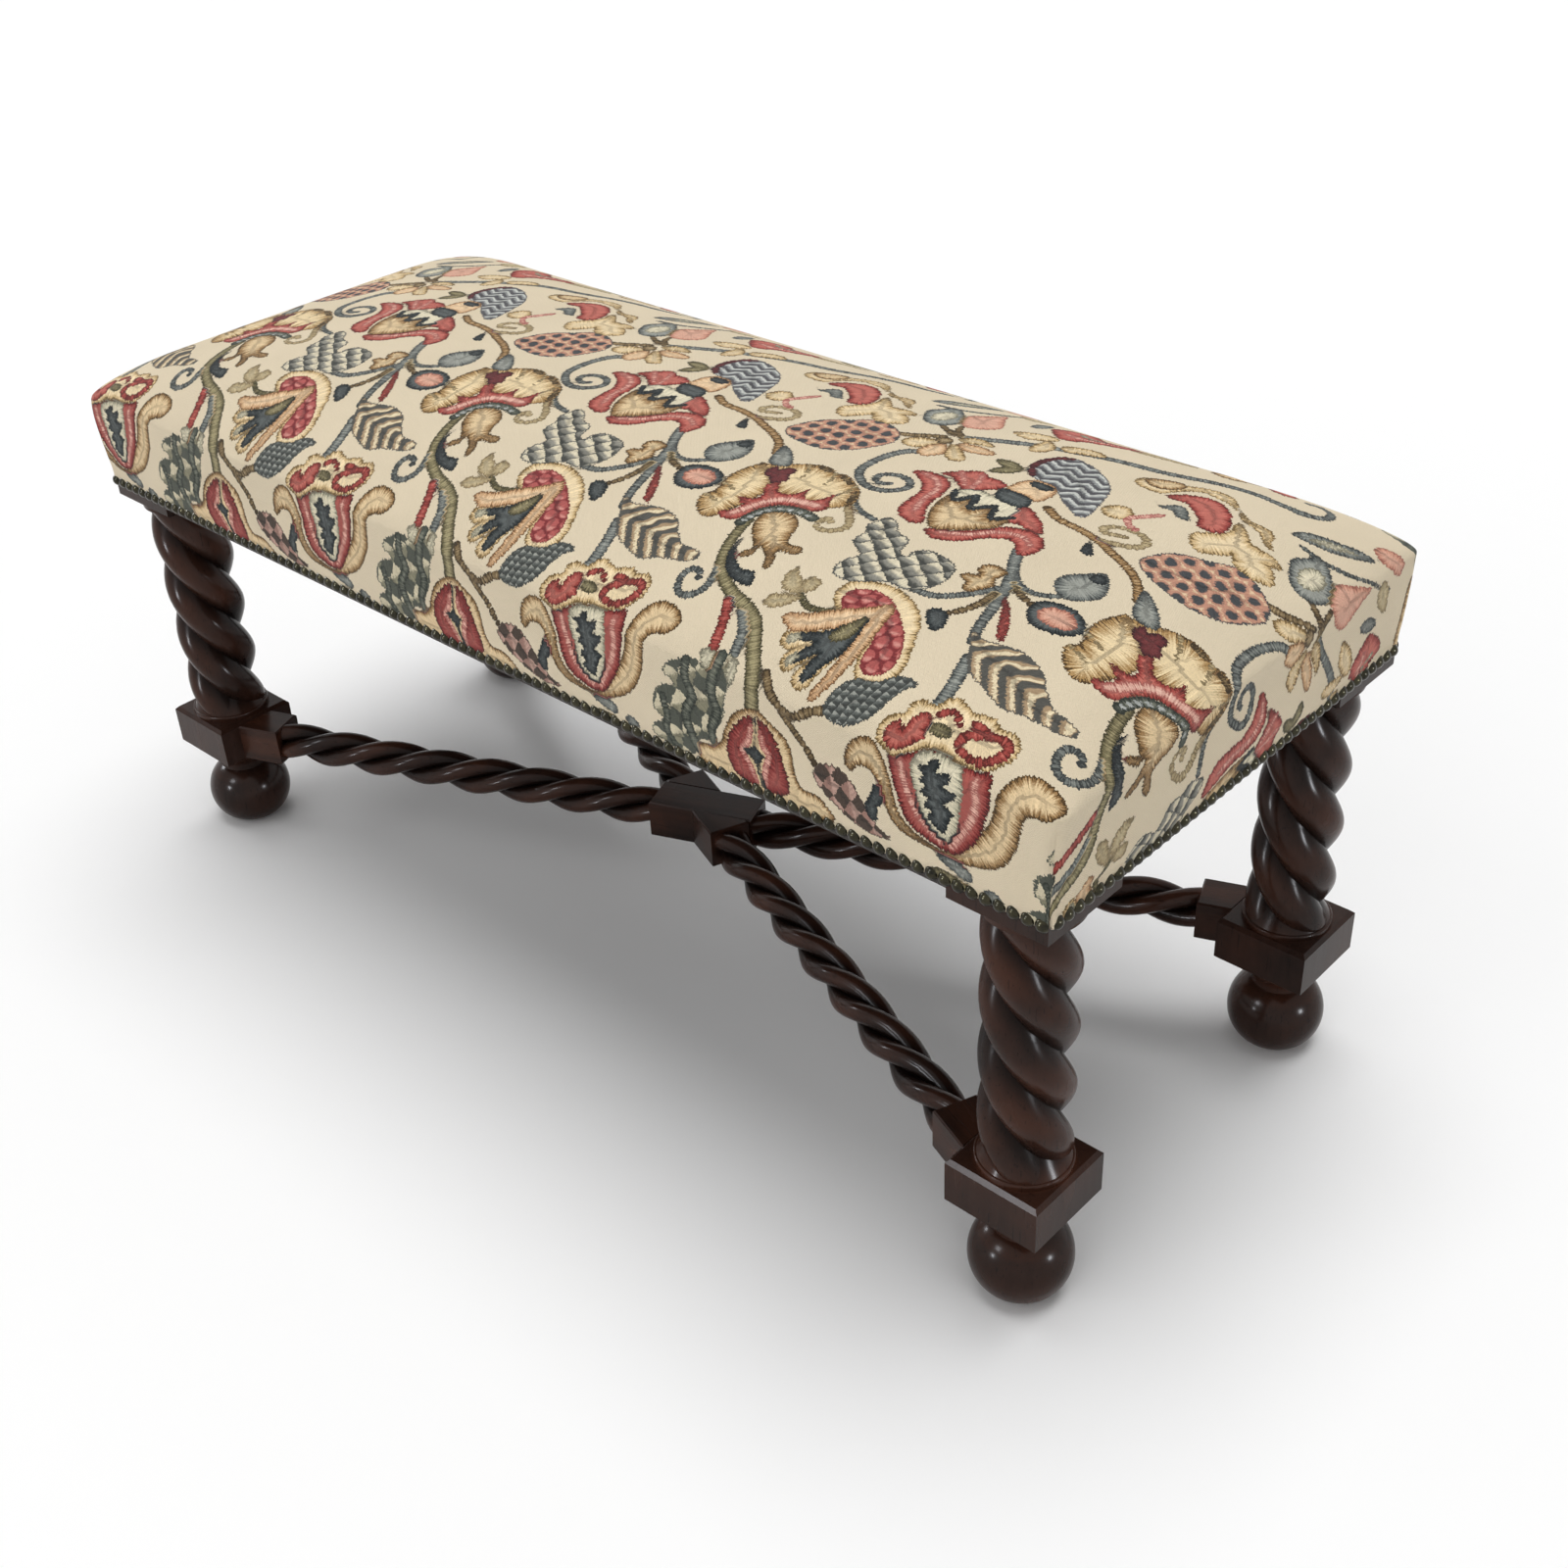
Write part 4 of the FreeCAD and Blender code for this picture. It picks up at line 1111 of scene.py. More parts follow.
@dataclass(frozen=True)
class Tapestry:
    """Wool embroidery on a cream ground.

    Attributes:
        name: the material's name.
        ground: colour of the cloth.
        outline: depths between which a shape's dark edge gives way, in millimetres.
        border: depths between which it turns from its middle to its light colour.
        weave: distance between two threads of the ground, in millimetres.
        fuzz, stitch: hairs and stitches per millimetre that make the shapes' edges ragged.
        stroke, speck: stitches and specks per millimetre that shade the wool.
        cloud: soiled patches of the ground per millimetre.
        relief: height of the wool above the ground, in metres.
    """

    name: str
    ground: Colour = (226, 211, 183)
    outline: tuple[float, float] = (0.9, 2.3)
    border: tuple[float, float] = (2.2, 6.0)
    weave: float = 1.6
    fuzz: float = 0.42
    stitch: float = 0.62
    stroke: float = 0.85
    speck: float = 0.75
    cloud: float = 0.012
    relief: float = 0.0005

    def make(self) -> bpy.types.Material:
        """Returns the material: the topmost shape of the pattern gives the colour
        of the wool, and the ground shows where there is none."""
        g = Graph.material(self.name)
        cloth = g.attribute(CLOTH)
        depth, thread, along = self._topmost(g, cloth).parts()
        stroke = g.noise(g.vector(along, depth * 0.07, thread * 3.0), self.stroke, 1.0)
        speck = g.noise(cloth, self.speck, 2.0)
        tone = self._tone(g, depth + stroke * 3.6 + speck * 1.6, depth, thread)
        wool = g.tint(self._wool(g, thread, tone), stroke * 0.34 + speck * 0.30 + 1.0)
        weave = self._weave(cloth)
        cloud = g.noise(cloth, self.cloud, 4.0)
        plain = g.tint(shade(*self.ground), weave * 0.03 + cloud * 0.07 + speck * 0.07 + 1.0)
        worked = depth > 0.0
        height = weave * (1.0 - worked) * 0.35 + worked * (stroke * 0.6 + 0.6) + speck * 0.4
        return g.finish(
            Base_Color=g.mix(worked, plain, wool),
            Roughness=speck * 0.06 + 0.9,
            Specular_IOR_Level=0.15,
            Sheen_Weight=0.08,
            Normal=g.bump(height, self.relief),
        )

    def _topmost(self, g: Graph, cloth: Value) -> Value:
        """Lays the layers of the pattern over each other, with ragged, stitched edges.

        Args:
            g: the graph.
            cloth: the place on the cloth.

        Returns:
            Depth in the topmost shape, its wool and the place along its edge. The
            depth is negative on bare ground.
        """
        fuzz = g.noise(cloth, self.fuzz, 2.0)
        top = g.vector(-1.0, 0.0, 0.0)
        for layer in Layer:
            depth, thread, along = g.attribute(layer.store).parts()
            stitch = g.noise(g.vector(along, depth * 0.12, thread * 7.0), self.stitch, 1.0)
            ragged = depth + fuzz * 1.2 + stitch * 2.6 + 0.3
            top = g.choose(ragged > 0.0, top, g.vector(ragged, thread, along))
        return top

    def _weave(self, cloth: Value) -> Value:
        """Returns the ground's weave, the product of a sine wave each way.

        Args:
            cloth: the place on the cloth.
        """
        u, v, _ = cloth.parts()
        turn = 2 * math.pi / self.weave
        return (u * turn).wave() * (v * turn).wave()

    def _tone(self, g: Graph, worked: Value, depth: Value, thread: Value) -> Value:
        """Gives 0 for a shape's dark wool, 1 for its middle and 2 for its light one.

        Args:
            g: the graph.
            worked: depth inside the shape, as the stitches blur it.
            depth: depth inside the shape.
            thread: the wool's number.

        Returns:
            The tone: by depth in a plain shape, by the repeat in a figured one.
        """
        plain = worked.rise(*self.outline) + worked.rise(*self.border)
        run, across, figure = g.attribute(FIGURES).parts()
        fuzz = g.noise(g.attribute(CLOTH), 0.5, 2.0) * 0.16
        drift = g.noise(g.attribute(CLOTH), 0.09, 1.0) * 0.22
        fills = self._fills(run + fuzz + drift, across + fuzz - drift)
        filled = sum((fill * (abs(figure - float(kind)) < 0.5) for kind, fill in fills.items()), start=0.0)
        filled = filled * depth.rise(0.5, 1.8)
        is_figured = thread > FIRST_FIGURED.number - 0.5
        return plain + (filled - plain) * is_figured

    def _fills(self, run: Value, across: Value) -> dict[Figure, Value]:
        """Works out the tone of every figure: bent and zigzag bands, squares that
        are halved along a diagonal, studs, and bricks, berries and spots that are
        set over by half a repeat from row to row.

        Args:
            run, across: repeats counted along and across the shape's length.

        Returns:
            Each figure's tone.
        """
        bent = (across * across + 0.03).root()
        fold = abs((run * 0.5).fraction() - 0.5)
        odd = ((run.floor() + across.floor()) * 0.5).fraction() * 2.0
        rise = across.fraction()
        shift = (run + across.floor() * 0.5).fraction() - 0.5
        lit = (shift + rise - 0.5).rise(-0.25, 0.15) + (shift * 1.2 + rise - 0.5).rise(0.25, 0.55)
        spot = (shift * shift + (rise - 0.5) * (rise - 0.5)).root()
        gleam = (shift - rise + 0.5).rise(0.0, 0.35) * spot.rise(0.45, 0.3)
        return {
            Figure.CHEVRON: self._bands(run - bent * 0.95, (0.34, 0.44), (0.56, 0.66), (0.82, 0.98)),
            Figure.CHECK: odd * ((run.fraction() + rise).rise(0.85, 1.1) + 1.0),
            Figure.STUD: self._stud(run.fraction() - 0.5, rise),
            Figure.BERRY: spot.rise(0.52, 0.40) + gleam,
            Figure.SPOT: spot.rise(0.28, 0.40) + spot.rise(0.50, 0.60),
            Figure.ZIGZAG: self._bands(across + fold * 1.5, (0.30, 0.42), (0.56, 0.66), (0.86, 0.98)),
            Figure.BRICK: lit * rise.rise(0.04, 0.16),
        }

    @staticmethod
    def _bands(
        count: Value, middle: tuple[float, float], light: tuple[float, float], dark: tuple[float, float]
    ) -> Value:
        """Repeats bands of dark, middle and light wool.

        Args:
            count: bands counted across their length.
            middle, light, dark: between which shares of a band each wool sets in.

        Returns:
            The tone.
        """
        part = count.fraction()
        return part.rise(*middle) + part.rise(*light) - part.rise(*dark) * 2.0

    @staticmethod
    def _stud(shift: Value, rise: Value) -> Value:
        """Shades one raised stud, dark at one side and one end and light at the others.

        Args:
            shift: place along the stud, about its middle.
            rise: place across it, from 0 to 1.

        Returns:
            Its tone.
        """
        slope = rise - shift * 0.4
        return (slope.rise(0.12, 0.42) + slope.rise(0.5, 0.8)) * shift.rise(0.5, 0.34)

    @staticmethod
    def _wool(g: Graph, thread: Value, tone: Value) -> Value:
        """Looks up a wool's colour.

        Args:
            g: the graph.
            thread: the wool's number.
            tone: 0 for its dark colour, 1 for its middle and 2 for its light one.

        Returns:
            The colour.
        """
        count = len(Thread)
        place = (thread + 0.5) / count
        ramps = []
        for kind in (1, 2, 3):
            stops = [(wool.number / count, shade(*wool.value[kind])) for wool in Thread]
            ramps.append(g.add("ShaderNodeValToRGB", {"stops": stops}, {0: place}))
        dark, middle, light = ramps
        return g.mix((tone - 1.0).most(0.0), g.mix(tone.least(1.0), dark, middle), light)


# The pieces


def grid_faces(index: np.ndarray) -> np.ndarray:
    """Joins a grid of vertex numbers into four-sided faces.

    Args:
        index: the vertex numbers, row by row.

    Returns:
        The faces, (n, 4), turned so that a row's direction crossed with the way to
        the next row points outwards.
    """
    corners = (index[:-1, :-1], index[:-1, 1:], index[1:, 1:], index[1:, :-1])
    return np.stack([c.ravel() for c in corners], 1)


def make_mesh(name: str, vertices: np.ndarray, faces: np.ndarray) -> bpy.types.Object:
    """Makes a smooth piece out of a surface.

    Args:
        name: the piece's name.
        vertices: (n, 3), in metres.
        faces: (m, 4).

    Returns:
        The object, in the scene.
    """
    mesh = bpy.data.meshes.new(name)
    mesh.from_pydata(vertices.tolist(), [], faces.tolist())
    mesh.polygons.foreach_set("use_smooth", np.ones(len(faces), bool))
    mesh.update()
    piece = bpy.data.objects.new(name, mesh)
    bpy.context.scene.collection.objects.link(piece)
    return piece


def unwrap(piece: bpy.types.Object, flat: np.ndarray) -> None:
    """Gives a piece the map that its cloth was cut from.

    Args:
        piece: the piece.
        flat: each vertex's place on the flat cloth, (n, 2).
    """
    mesh = piece.data
    corners = np.empty(len(mesh.loops), np.int32)
    mesh.loops.foreach_get("vertex_index", corners)
    low, span = flat.min(0), np.ptp(flat, axis=0)
    layer = mesh.uv_layers.new(name="OFBake")
    layer.data.foreach_set("uv", ((flat - low) / span)[corners].ravel().astype(np.float32))


def keep(piece: bpy.types.Object, name: str, vectors: np.ndarray) -> None:
    """Keeps a vector for each vertex of a piece.

    Args:
        piece: the piece.
        name: the attribute's name.
        vectors: (n, 3).
    """
    store = piece.data.attributes.new(name, "FLOAT_VECTOR", "POINT")
    store.data.foreach_set("vector", vectors.astype(np.float32).ravel())


def normals_of(piece: bpy.types.Object) -> np.ndarray:
    """Returns the direction that each vertex of a piece faces, (n, 3).

    Args:
        piece: the piece.
    """
    normals = np.empty(len(piece.data.vertices) * 3, np.float32)
    piece.data.vertex_normals.foreach_get("vector", normals)
    return normals.reshape(-1, 3)


def put(piece: bpy.types.Object, places: np.ndarray) -> None:
    """Puts the vertices of a piece in new places, (n, 3)."""
    piece.data.vertices.foreach_set("co", places.astype(np.float32).ravel())


def lengths(grid: np.ndarray, axis: int) -> np.ndarray:
    """Adds up the distances along the lines of a grid of points.

    Args:
        grid: the points, (rows, columns, 3).
        axis: 0 from row to row, 1 from column to column.

    Returns:
        The length from each line's start, (rows, columns).
    """
    steps = np.diff(grid, axis=axis, prepend=grid.take([0], axis))
    return np.cumsum(np.linalg.norm(steps, axis=2), axis=axis)


@dataclass(frozen=True)
class SeatForm:
    """Outer surface of the stuffed seat, in metres: upright sides that lean out
    a little, then a dome built of rounded-rectangle rings.

    Attributes:
        foot: height of the CAD cover's lower edge.
        crown: height of the top.
        half: half length and half depth at the widest.
        lift: how far the hem stops above that edge, behind the nails' heads.
        belly: how far the left end bulges.
        belly_rise: power of the fall, below 1 for a bulge that is fullest above the middle.
        belly_ends: power of the place along the length, by which the bulge fades from the left end.
        skirt: height that hangs straight above the foot.
        side: height of the widest ring above the foot.
        lean: how far the sides lean out, along the length and the depth.
        roundness, fullness: shape of the dome along the length and the depth.
        corner: radius of the upright corners at the foot and at the widest ring.
        spread, spread_power: how far and how soon the corners open on the dome.
        corner_limit: the most that they open, as a share of the half depth.
        HALVINGS: steps in which the height at a point is found.
        SAMPLES: points at which the dome is measured along its length or depth.
    """

    foot: float
    crown: float
    half: tuple[float, float]
    skirt: float = 0.016
    side: float = 0.089
    lean: tuple[float, float] = (0.006, 0.003)
    roundness: tuple[float, float] = (4.3, 2.9)
    fullness: tuple[float, float] = (1.65, 1.32)
    corner: tuple[float, float] = (0.0031, 0.0136)
    spread: float = 0.128
    spread_power: float = 1.05
    corner_limit: float = 0.9
    lift: float = 0.004
    belly: float = 0.006
    belly_rise: float = 0.6
    belly_ends: int = 6

    HALVINGS = 36
    SAMPLES = 4001

    @classmethod
    def of(cls, node: str) -> "SeatForm":
        """Takes the seat's size from a CAD node.

        Args:
            node: the node's name.

        Returns:
            The form.
        """
        low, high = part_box(node)
        return cls(foot=low[2], crown=high[2], half=(high[0], high[1]))

    @property
    def ring(self) -> float:
        """Height of the widest ring, where the dome starts."""
        return self.foot + self.side

    @property
    def hem(self) -> float:
        """Height of the lower edge."""
        return self.foot + self.lift

    def reach(self, level: np.ndarray) -> tuple[np.ndarray, np.ndarray, np.ndarray]:
        """Size of the dome's ring at a level: half size times
        (1 - level^fullness)^(1 / roundness), with corners that open as it rises.

        Args:
            level: from 0 at the widest ring to 1 at the top.

        Returns:
            Half length, half depth and corner radius.
        """
        long, deep = (
            half * np.maximum(1 - level**full, 0) ** (1 / round_)
            for half, full, round_ in zip(self.half, self.fullness, self.roundness)
        )
        opened = self.corner[1] + self.spread * level**self.spread_power
        return long, deep, np.minimum(opened, self.corner_limit * deep)

    def height(self, x: np.ndarray, y: np.ndarray) -> np.ndarray:
        """Height of the dome: the level is halved towards the ring that passes
        through the point.

        Args:
            x, y: the points.

        Returns:
            Their heights.
        """
        low, high = np.zeros_like(x), np.ones_like(x)
        for _ in range(self.HALVINGS):
            level = (low + high) / 2
            long, deep, corner = self.reach(level)
            over_x = np.maximum(np.abs(x) - (long - corner), 0)
            over_y = np.maximum(np.abs(y) - (deep - corner), 0)
            outside = (np.hypot(over_x, over_y) > corner) | (np.abs(x) > long) | (np.abs(y) > deep)
            high = np.where(outside, level, high)
            low = np.where(outside, low, level)
        return self.ring + (self.crown - self.ring) * low

    def even(self, axis: int, count: int) -> np.ndarray:
        """Places along the seat's middle line, evenly spaced over the dome.

        Args:
            axis: 0 along the length, 1 along the depth.
            count: how many.

        Returns:
            The places, from edge to edge.
        """
        level = np.linspace(0, 1, self.SAMPLES)
        out = self.reach(level)[axis]
        up = (self.crown - self.ring) * level
        run = np.concatenate([[0], np.cumsum(np.hypot(np.diff(out), np.diff(up)))])
        rest = np.linspace(0, run[-1] + out[-1], count // 2 + 1)
        half = np.interp(rest, np.append(run, run[-1] + out[-1]), np.append(out, 0.0))
        return np.concatenate([-half[:-1], half[::-1]])

    def top(self, across: int, deep: int) -> np.ndarray:
        """The dome as a grid whose corners are drawn in onto the rounded corner.

        Args:
            across, deep: points along the length and the depth, both odd.

        Returns:
            The points, (deep, across, 3).
        """
        x, y = np.meshgrid(self.even(0, across - 1), self.even(1, deep - 1))
        corner = self.corner[1]
        over_x = np.abs(x) - (self.half[0] - corner)
        over_y = np.abs(y) - (self.half[1] - corner)
        both = (over_x > 0) & (over_y > 0)
        far = np.where(both, np.hypot(over_x, over_y), 1.0)
        pull = np.where(both, np.maximum(over_x, over_y) / np.maximum(far, 1e-9), 1.0)
        x = np.where(both, np.sign(x) * (self.half[0] - corner + over_x * pull), x)
        y = np.where(both, np.sign(y) * (self.half[1] - corner + over_y * pull), y)
        z = self.height(x, y)
        z[[0, -1], :] = self.ring
        z[:, [0, -1]] = self.ring
        return np.stack([x, y, z], 2)

    def flap(self, edge: np.ndarray, rows: int, tuck: float) -> np.ndarray:
        """One side of the seat, hung from an edge of the dome: each point keeps
        its place along the ring while the ring shrinks towards the hem, and is
        turned in under the hem at the end. The left end bulges as a sine of the
        height, fullest above the middle.

        Args:
            edge: the dome's edge points, (n, 3).
            rows: rows below the edge, the turned-in one left out.
            tuck: how far the hem is turned in.

        Returns:
            The points, (rows + 1, n, 3), from the edge down.
        """
        half, corner = np.array(self.half), self.corner[1]
        core = half - corner
        anchor = np.clip(edge[:, :2], -core, core)
        outward = (edge[:, :2] - anchor) / corner
        share = anchor / core
        z = np.append(np.linspace(self.ring, self.hem, rows), self.hem + tuck)
        fall = np.clip((self.ring - z) / (self.side - self.skirt), 0, 1)[:, None, None]
        ring_half = half - fall * np.array(self.lean)
        ring_corner = corner + fall * (self.corner[0] - corner)
        flat = share * (ring_half - ring_corner) + outward * ring_corner
        bulge = self.belly * np.sin(math.pi * fall[..., 0] ** self.belly_rise)
        flat[..., 0] -= bulge * np.clip(-share[:, 0], 0, 1) ** self.belly_ends
        flat[-1] -= outward * tuck
        return np.concatenate([flat, np.broadcast_to(z[:, None, None], (*flat.shape[:2], 1))], 2)


def resample(grid: np.ndarray, shape: tuple[int, int]) -> np.ndarray:
    """Reads a grid of values at another number of rows and columns, straight
    between its neighbours both ways.

    Args:
        grid: the values.
        shape: the rows and columns wanted.

    Returns:
        The new grid.
    """
    row, column = (np.linspace(0, old - 1, new) for old, new in zip(grid.shape, shape))
    top, left = (np.minimum(at.astype(int), old - 2) for at, old in zip((row, column), grid.shape))
    down, right = (row - top)[:, None], (column - left)[None, :]
    upper = grid[top][:, left] * (1 - right) + grid[top][:, left + 1] * right
    lower = grid[top + 1][:, left] * (1 - right) + grid[top + 1][:, left + 1] * right
    return upper * (1 - down) + lower * down


@dataclass
class Panels:
    """The cover as one cut cloth: a dome, and four sides that hang from its edge
    and part at the corners.

    Attributes:
        top: the dome's points, (deep, across, 3).
        sides: the front, right, rear and left side, each from the dome's edge down.
    """

    top: np.ndarray
    sides: list[np.ndarray]

    OUTWARD = ((0, -1), (1, 0), (0, 1), (-1, 0))

    @staticmethod
    def edges(grid: np.ndarray) -> list[np.ndarray]:
        """The four edges of the dome's grid, in the sides' order.

        Args:
            grid: anything kept for each point of the dome.

        Returns:
            Its values along each edge.
        """
        return [grid[0, :], grid[:, -1], grid[-1, ::-1], grid[::-1, 0]]

    @classmethod
    def of(cls, form: SeatForm, across: int, deep: int, drop: int, tuck: float) -> "Panels":
        """Cuts the cloth over a form.

        Args:
            form: the seat's surface.
            across, deep: points of the dome.
            drop: rows of each side.
            tuck: how far the hem is turned in.

        Returns:
            The panels.
        """
        top = form.top(across, deep)
        return cls(top, [form.flap(edge, drop, tuck) for edge in cls.edges(top)])

    def joined(self, grids: Sequence[np.ndarray]) -> np.ndarray:
        """Lists values in the order of the vertices.

        Args:
            grids: values of the dome, then of each side with its shared edge.

        Returns:
            One value a vertex.
        """
        width = grids[0].shape[2:]
        below = [grid[1:].reshape(-1, *width) for grid in grids[1:]]
        return np.concatenate([grids[0].reshape(-1, *width), *below])

    def parted(self, values: np.ndarray) -> list[np.ndarray]:
        """Turns one value a vertex back into the dome's grid and the sides'.

        Args:
            values: one value a vertex.

        Returns:
            The grids.
        """
        count = self.top[..., 0].size
        top = values[:count].reshape(self.top.shape[:2])
        grids = [top]
        for side, edge in zip(self.sides, self.edges(top)):
            rows, columns = side.shape[0] - 1, side.shape[1]
            below = values[count:count + rows * columns].reshape(rows, columns)
            grids.append(np.concatenate([edge[None], below]))
            count += rows * columns
        return grids

    def vertices(self) -> np.ndarray:
        """Returns the points, (n, 3)."""
        return self.joined([self.top, *self.sides])

    def faces(self) -> np.ndarray:
        """Returns the four-sided faces, turned outwards."""
        top, *sides = self.parted(np.arange(len(self.vertices())))
        return np.concatenate([grid_faces(top)] + [grid_faces(side[::-1]) for side in sides])

    def flat(self, front_hem: float) -> np.ndarray:
        """Where each point lies on the flat cloth: lengths along its row from the
        middle, and along its column from the front hem.

        Args:
            front_hem: the front hem's place, in metres.

        Returns:
            The places, (n, 2), in metres.
        """
        along = lengths(self.top, 1)
        along -= along[:, along.shape[1] // 2][:, None]
        fall = [lengths(side, 0) for side in self.sides]
        place = np.stack([along, lengths(self.top, 0) + front_hem + fall[0][-2].mean()], 2)
        hung = [
            edge[None] + drop[..., None] * np.array(way)
            for edge, drop, way in zip(self.edges(place), fall, self.OUTWARD)
        ]
        return self.joined([place, *hung])


@dataclass
class SeatCover:
    """The tapestry cover, drawn over the stuffing and nailed along its hem.

    Attributes:
        form: the seat's outer surface.
        points: points of the dome along the length and the depth, and rows of each side.
        coarse: the same for the cloth that is simulated.
        tuck: how far the hem is turned in, in metres.
        hem_to_middle: length of cloth from the front hem to the middle, in metres.
        slack: how far inside the form the simulated cloth starts, in metres.
        pressure: how hard the stuffing presses it out.
        stiffness: how hard the cloth is to stretch, to shear and to bend.
        quality, frames: steps of the simulation within a frame, and its frames.
        swell: the most that the dome and the sides may settle outwards, in metres.
        slit: depth and width of the fold at each corner, in metres.
        lip: height of the cloth beside the fold, as a share of the fold's depth, and how many of its
            widths away that is.
        opening: how many times faster than the side falls the fold and its lip open.
        pucker: depth of the dents that the nails leave above the hem, in metres.
        fade: power of the height by which the dents fade.
        pitch: distance between two nails, in metres.
        slip: places along the length, and how far the pattern has slipped there to the left and to the
            front, in millimetres.
    """

    form: SeatForm
    points: tuple[int, int, int] = (381, 163, 30)
    coarse: tuple[int, int, int] = (137, 57, 12)
    tuck: float = 0.003
    hem_to_middle: float = 0.330
    slack: float = 0.003
    pressure: float = 12.0
    stiffness: tuple[float, float, float] = (30.0, 15.0, 2.0)
    quality: int = 5
    frames: int = 20
    swell: tuple[float, float] = (0.0012, 0.0065)
    slit: tuple[float, float] = (0.0013, 0.0020)
    lip: tuple[float, float] = (0.5, 2.6)
    opening: tuple[float, float] = (5, 3)
    pucker: float = 0.0006
    fade: int = 6
    pitch: float = 0.0111
    slip: tuple[tuple[float, float, float], ...] = (
        (-545.0, -9.5, 4.5),
        (-150.0, -4.0, 3.5),
        (20.0, 0.0, 3.0),
        (450.0, 0.0, -2.8),
        (545.0, -11.0, 14.5),
    )

    def build(self) -> bpy.types.Object:
        """Returns the cover: the form's panels, moved out as the simulated cloth
        settles, drawn in at the corner folds and dented by the nails."""
        panels = Panels.of(self.form, *self.points, self.tuck)
        piece = make_mesh("cover", panels.vertices(), panels.faces())
        move = self._creases(panels)
        move = move + self._settled(panels)
        put(piece, panels.vertices() + move[:, None] * normals_of(piece))
        piece.data.update()
        self._mark(piece, panels.flat(-self.hem_to_middle))
        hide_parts("seat_cover")
        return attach(piece, "root")

    def _creases(self, panels: Panels) -> np.ndarray:
        """Small moves of the sides: in along the two upright edges of each, as a
        bell curve of the distance from the edge, out beside them as another one,
        and in at each nail, as a cosine that fades upwards.

        Args:
            panels: the cover.

        Returns:
            The move of each vertex along its normal, in metres.
        """
        moves = [np.zeros(panels.top.shape[:2])]
        depth, width = self.slit
        height, away = self.lip
        for side in panels.sides:
            along = lengths(side, 1)
            apart = np.minimum(along, along[:, -1:] - along)
            fall = np.linspace(0, 1, len(side))[:, None]
            opened, raised = (np.minimum(fall * speed, 1) for speed in self.opening)
            fold = -depth * np.exp(-((apart / width) ** 2)) * opened
            lip = height * depth * np.exp(-(((apart - away * width) / width) ** 2)) * raised
            dents = -self.pucker * np.cos(2 * math.pi * along / self.pitch) * fall**self.fade
            moves.append(fold + lip + dents)
        return panels.joined(moves)

    def _settled(self, panels: Panels) -> np.ndarray:
        """Lets a coarse cloth of the same cut swell. What it moves is eased, as a
        hyperbolic tangent, towards a limit that grows as the root of the way down
        the sides.

        Args:
            panels: the cover.

        Returns:
            How far each of the cover's vertices moves out, in metres.
        """
        cut = Panels.of(self.form, *self.coarse, self.tuck)
        dome, *sides = cut.parted(self._swollen(cut))
        fall = np.linspace(0, 1, len(sides[0]))[:, None] ** 0.5
        above, below = self.swell
        limits = [np.full(dome.shape, above)]
        limits += [np.broadcast_to(above + (below - above) * fall, side.shape) for side in sides]
        eased = [most * np.tanh(grid / most) for grid, most in zip([dome, *sides], limits)]
        shapes = [panels.top.shape[:2], *(side.shape[:2] for side in panels.sides)]
        return panels.joined([resample(grid, shape) for grid, shape in zip(eased, shapes)])

    def _swollen(self, cut: Panels) -> np.ndarray:
        """Runs a cloth simulation from a slightly smaller seat.

        Args:
            cut: the coarse cloth.

        Returns:
            How far each of its vertices settles outside the seat, in metres.
        """
        target = cut.vertices()
        cloth = make_mesh("cloth_trial", target, cut.faces())
        normals = normals_of(cloth)
        nailed = self._nailed(cut)
        put(cloth, target - self.slack * normals * ~nailed[:, None])
        pins = cloth.vertex_groups.new(name="nailed")
        pins.add(np.flatnonzero(nailed).tolist(), 1.0, "REPLACE")
        settings = cloth.modifiers.new("cloth", "CLOTH").settings
        stretch, settings.shear_stiffness, settings.bending_stiffness = self.stiffness
        settings.tension_stiffness = settings.compression_stiffness = stretch
        settings.vertex_group_mass = pins.name
        settings.quality = self.quality
        settings.use_pressure = True
        settings.uniform_pressure_force = self.pressure
        settings.effector_weights.gravity = 0.0
        scene = bpy.context.scene
        for number in range(1, self.frames + 1):
            scene.frame_set(number)
        settled = cloth.evaluated_get(bpy.context.evaluated_depsgraph_get()).data
        places = np.empty(target.size, np.float32)
        settled.vertices.foreach_get("co", places)
        out = np.maximum(((places.reshape(-1, 3) - target) * normals).sum(1), 0)
        log.info("cloth settles out by %.1f mm at the most", out.max() / MM)
        scene.frame_set(1)
        bpy.data.objects.remove(cloth)
        return out

    @staticmethod
    def _nailed(cut: Panels) -> np.ndarray:
        """Marks where a cloth is held: nailed along the hem and sewn at the corners.

        Args:
            cut: the cloth.

        Returns:
            Whether each vertex is held.
        """
        held = [np.zeros(cut.top.shape[:2], bool)]
        for side in cut.sides:
            grid = np.zeros(side.shape[:2], bool)
            grid[-2:, :] = True
            grid[2:, [0, -1]] = True
            held.append(grid)
        return cut.joined(held)

    def _mark(self, piece: bpy.types.Object, cloth: np.ndarray) -> None:
        """Lays the pattern on the cover. The cloth was nailed a little askew, so
        the pattern has slipped, by amounts between which it changes evenly along
        the length.

        Args:
            piece: the cover.
            cloth: each vertex's place on the flat cloth, (n, 2), in metres.
        """
        places = cloth / MM
        keep(piece, CLOTH, np.column_stack([places, np.zeros(len(places))]))
        at, left, front = np.array(self.slip).T
        slipped = np.column_stack([np.interp(places[:, 0], at, amount) for amount in (left, front)])
        for name, vectors in CrewelPattern().lay(places + slipped).items():
            keep(piece, name, vectors)
        unwrap(piece, cloth)

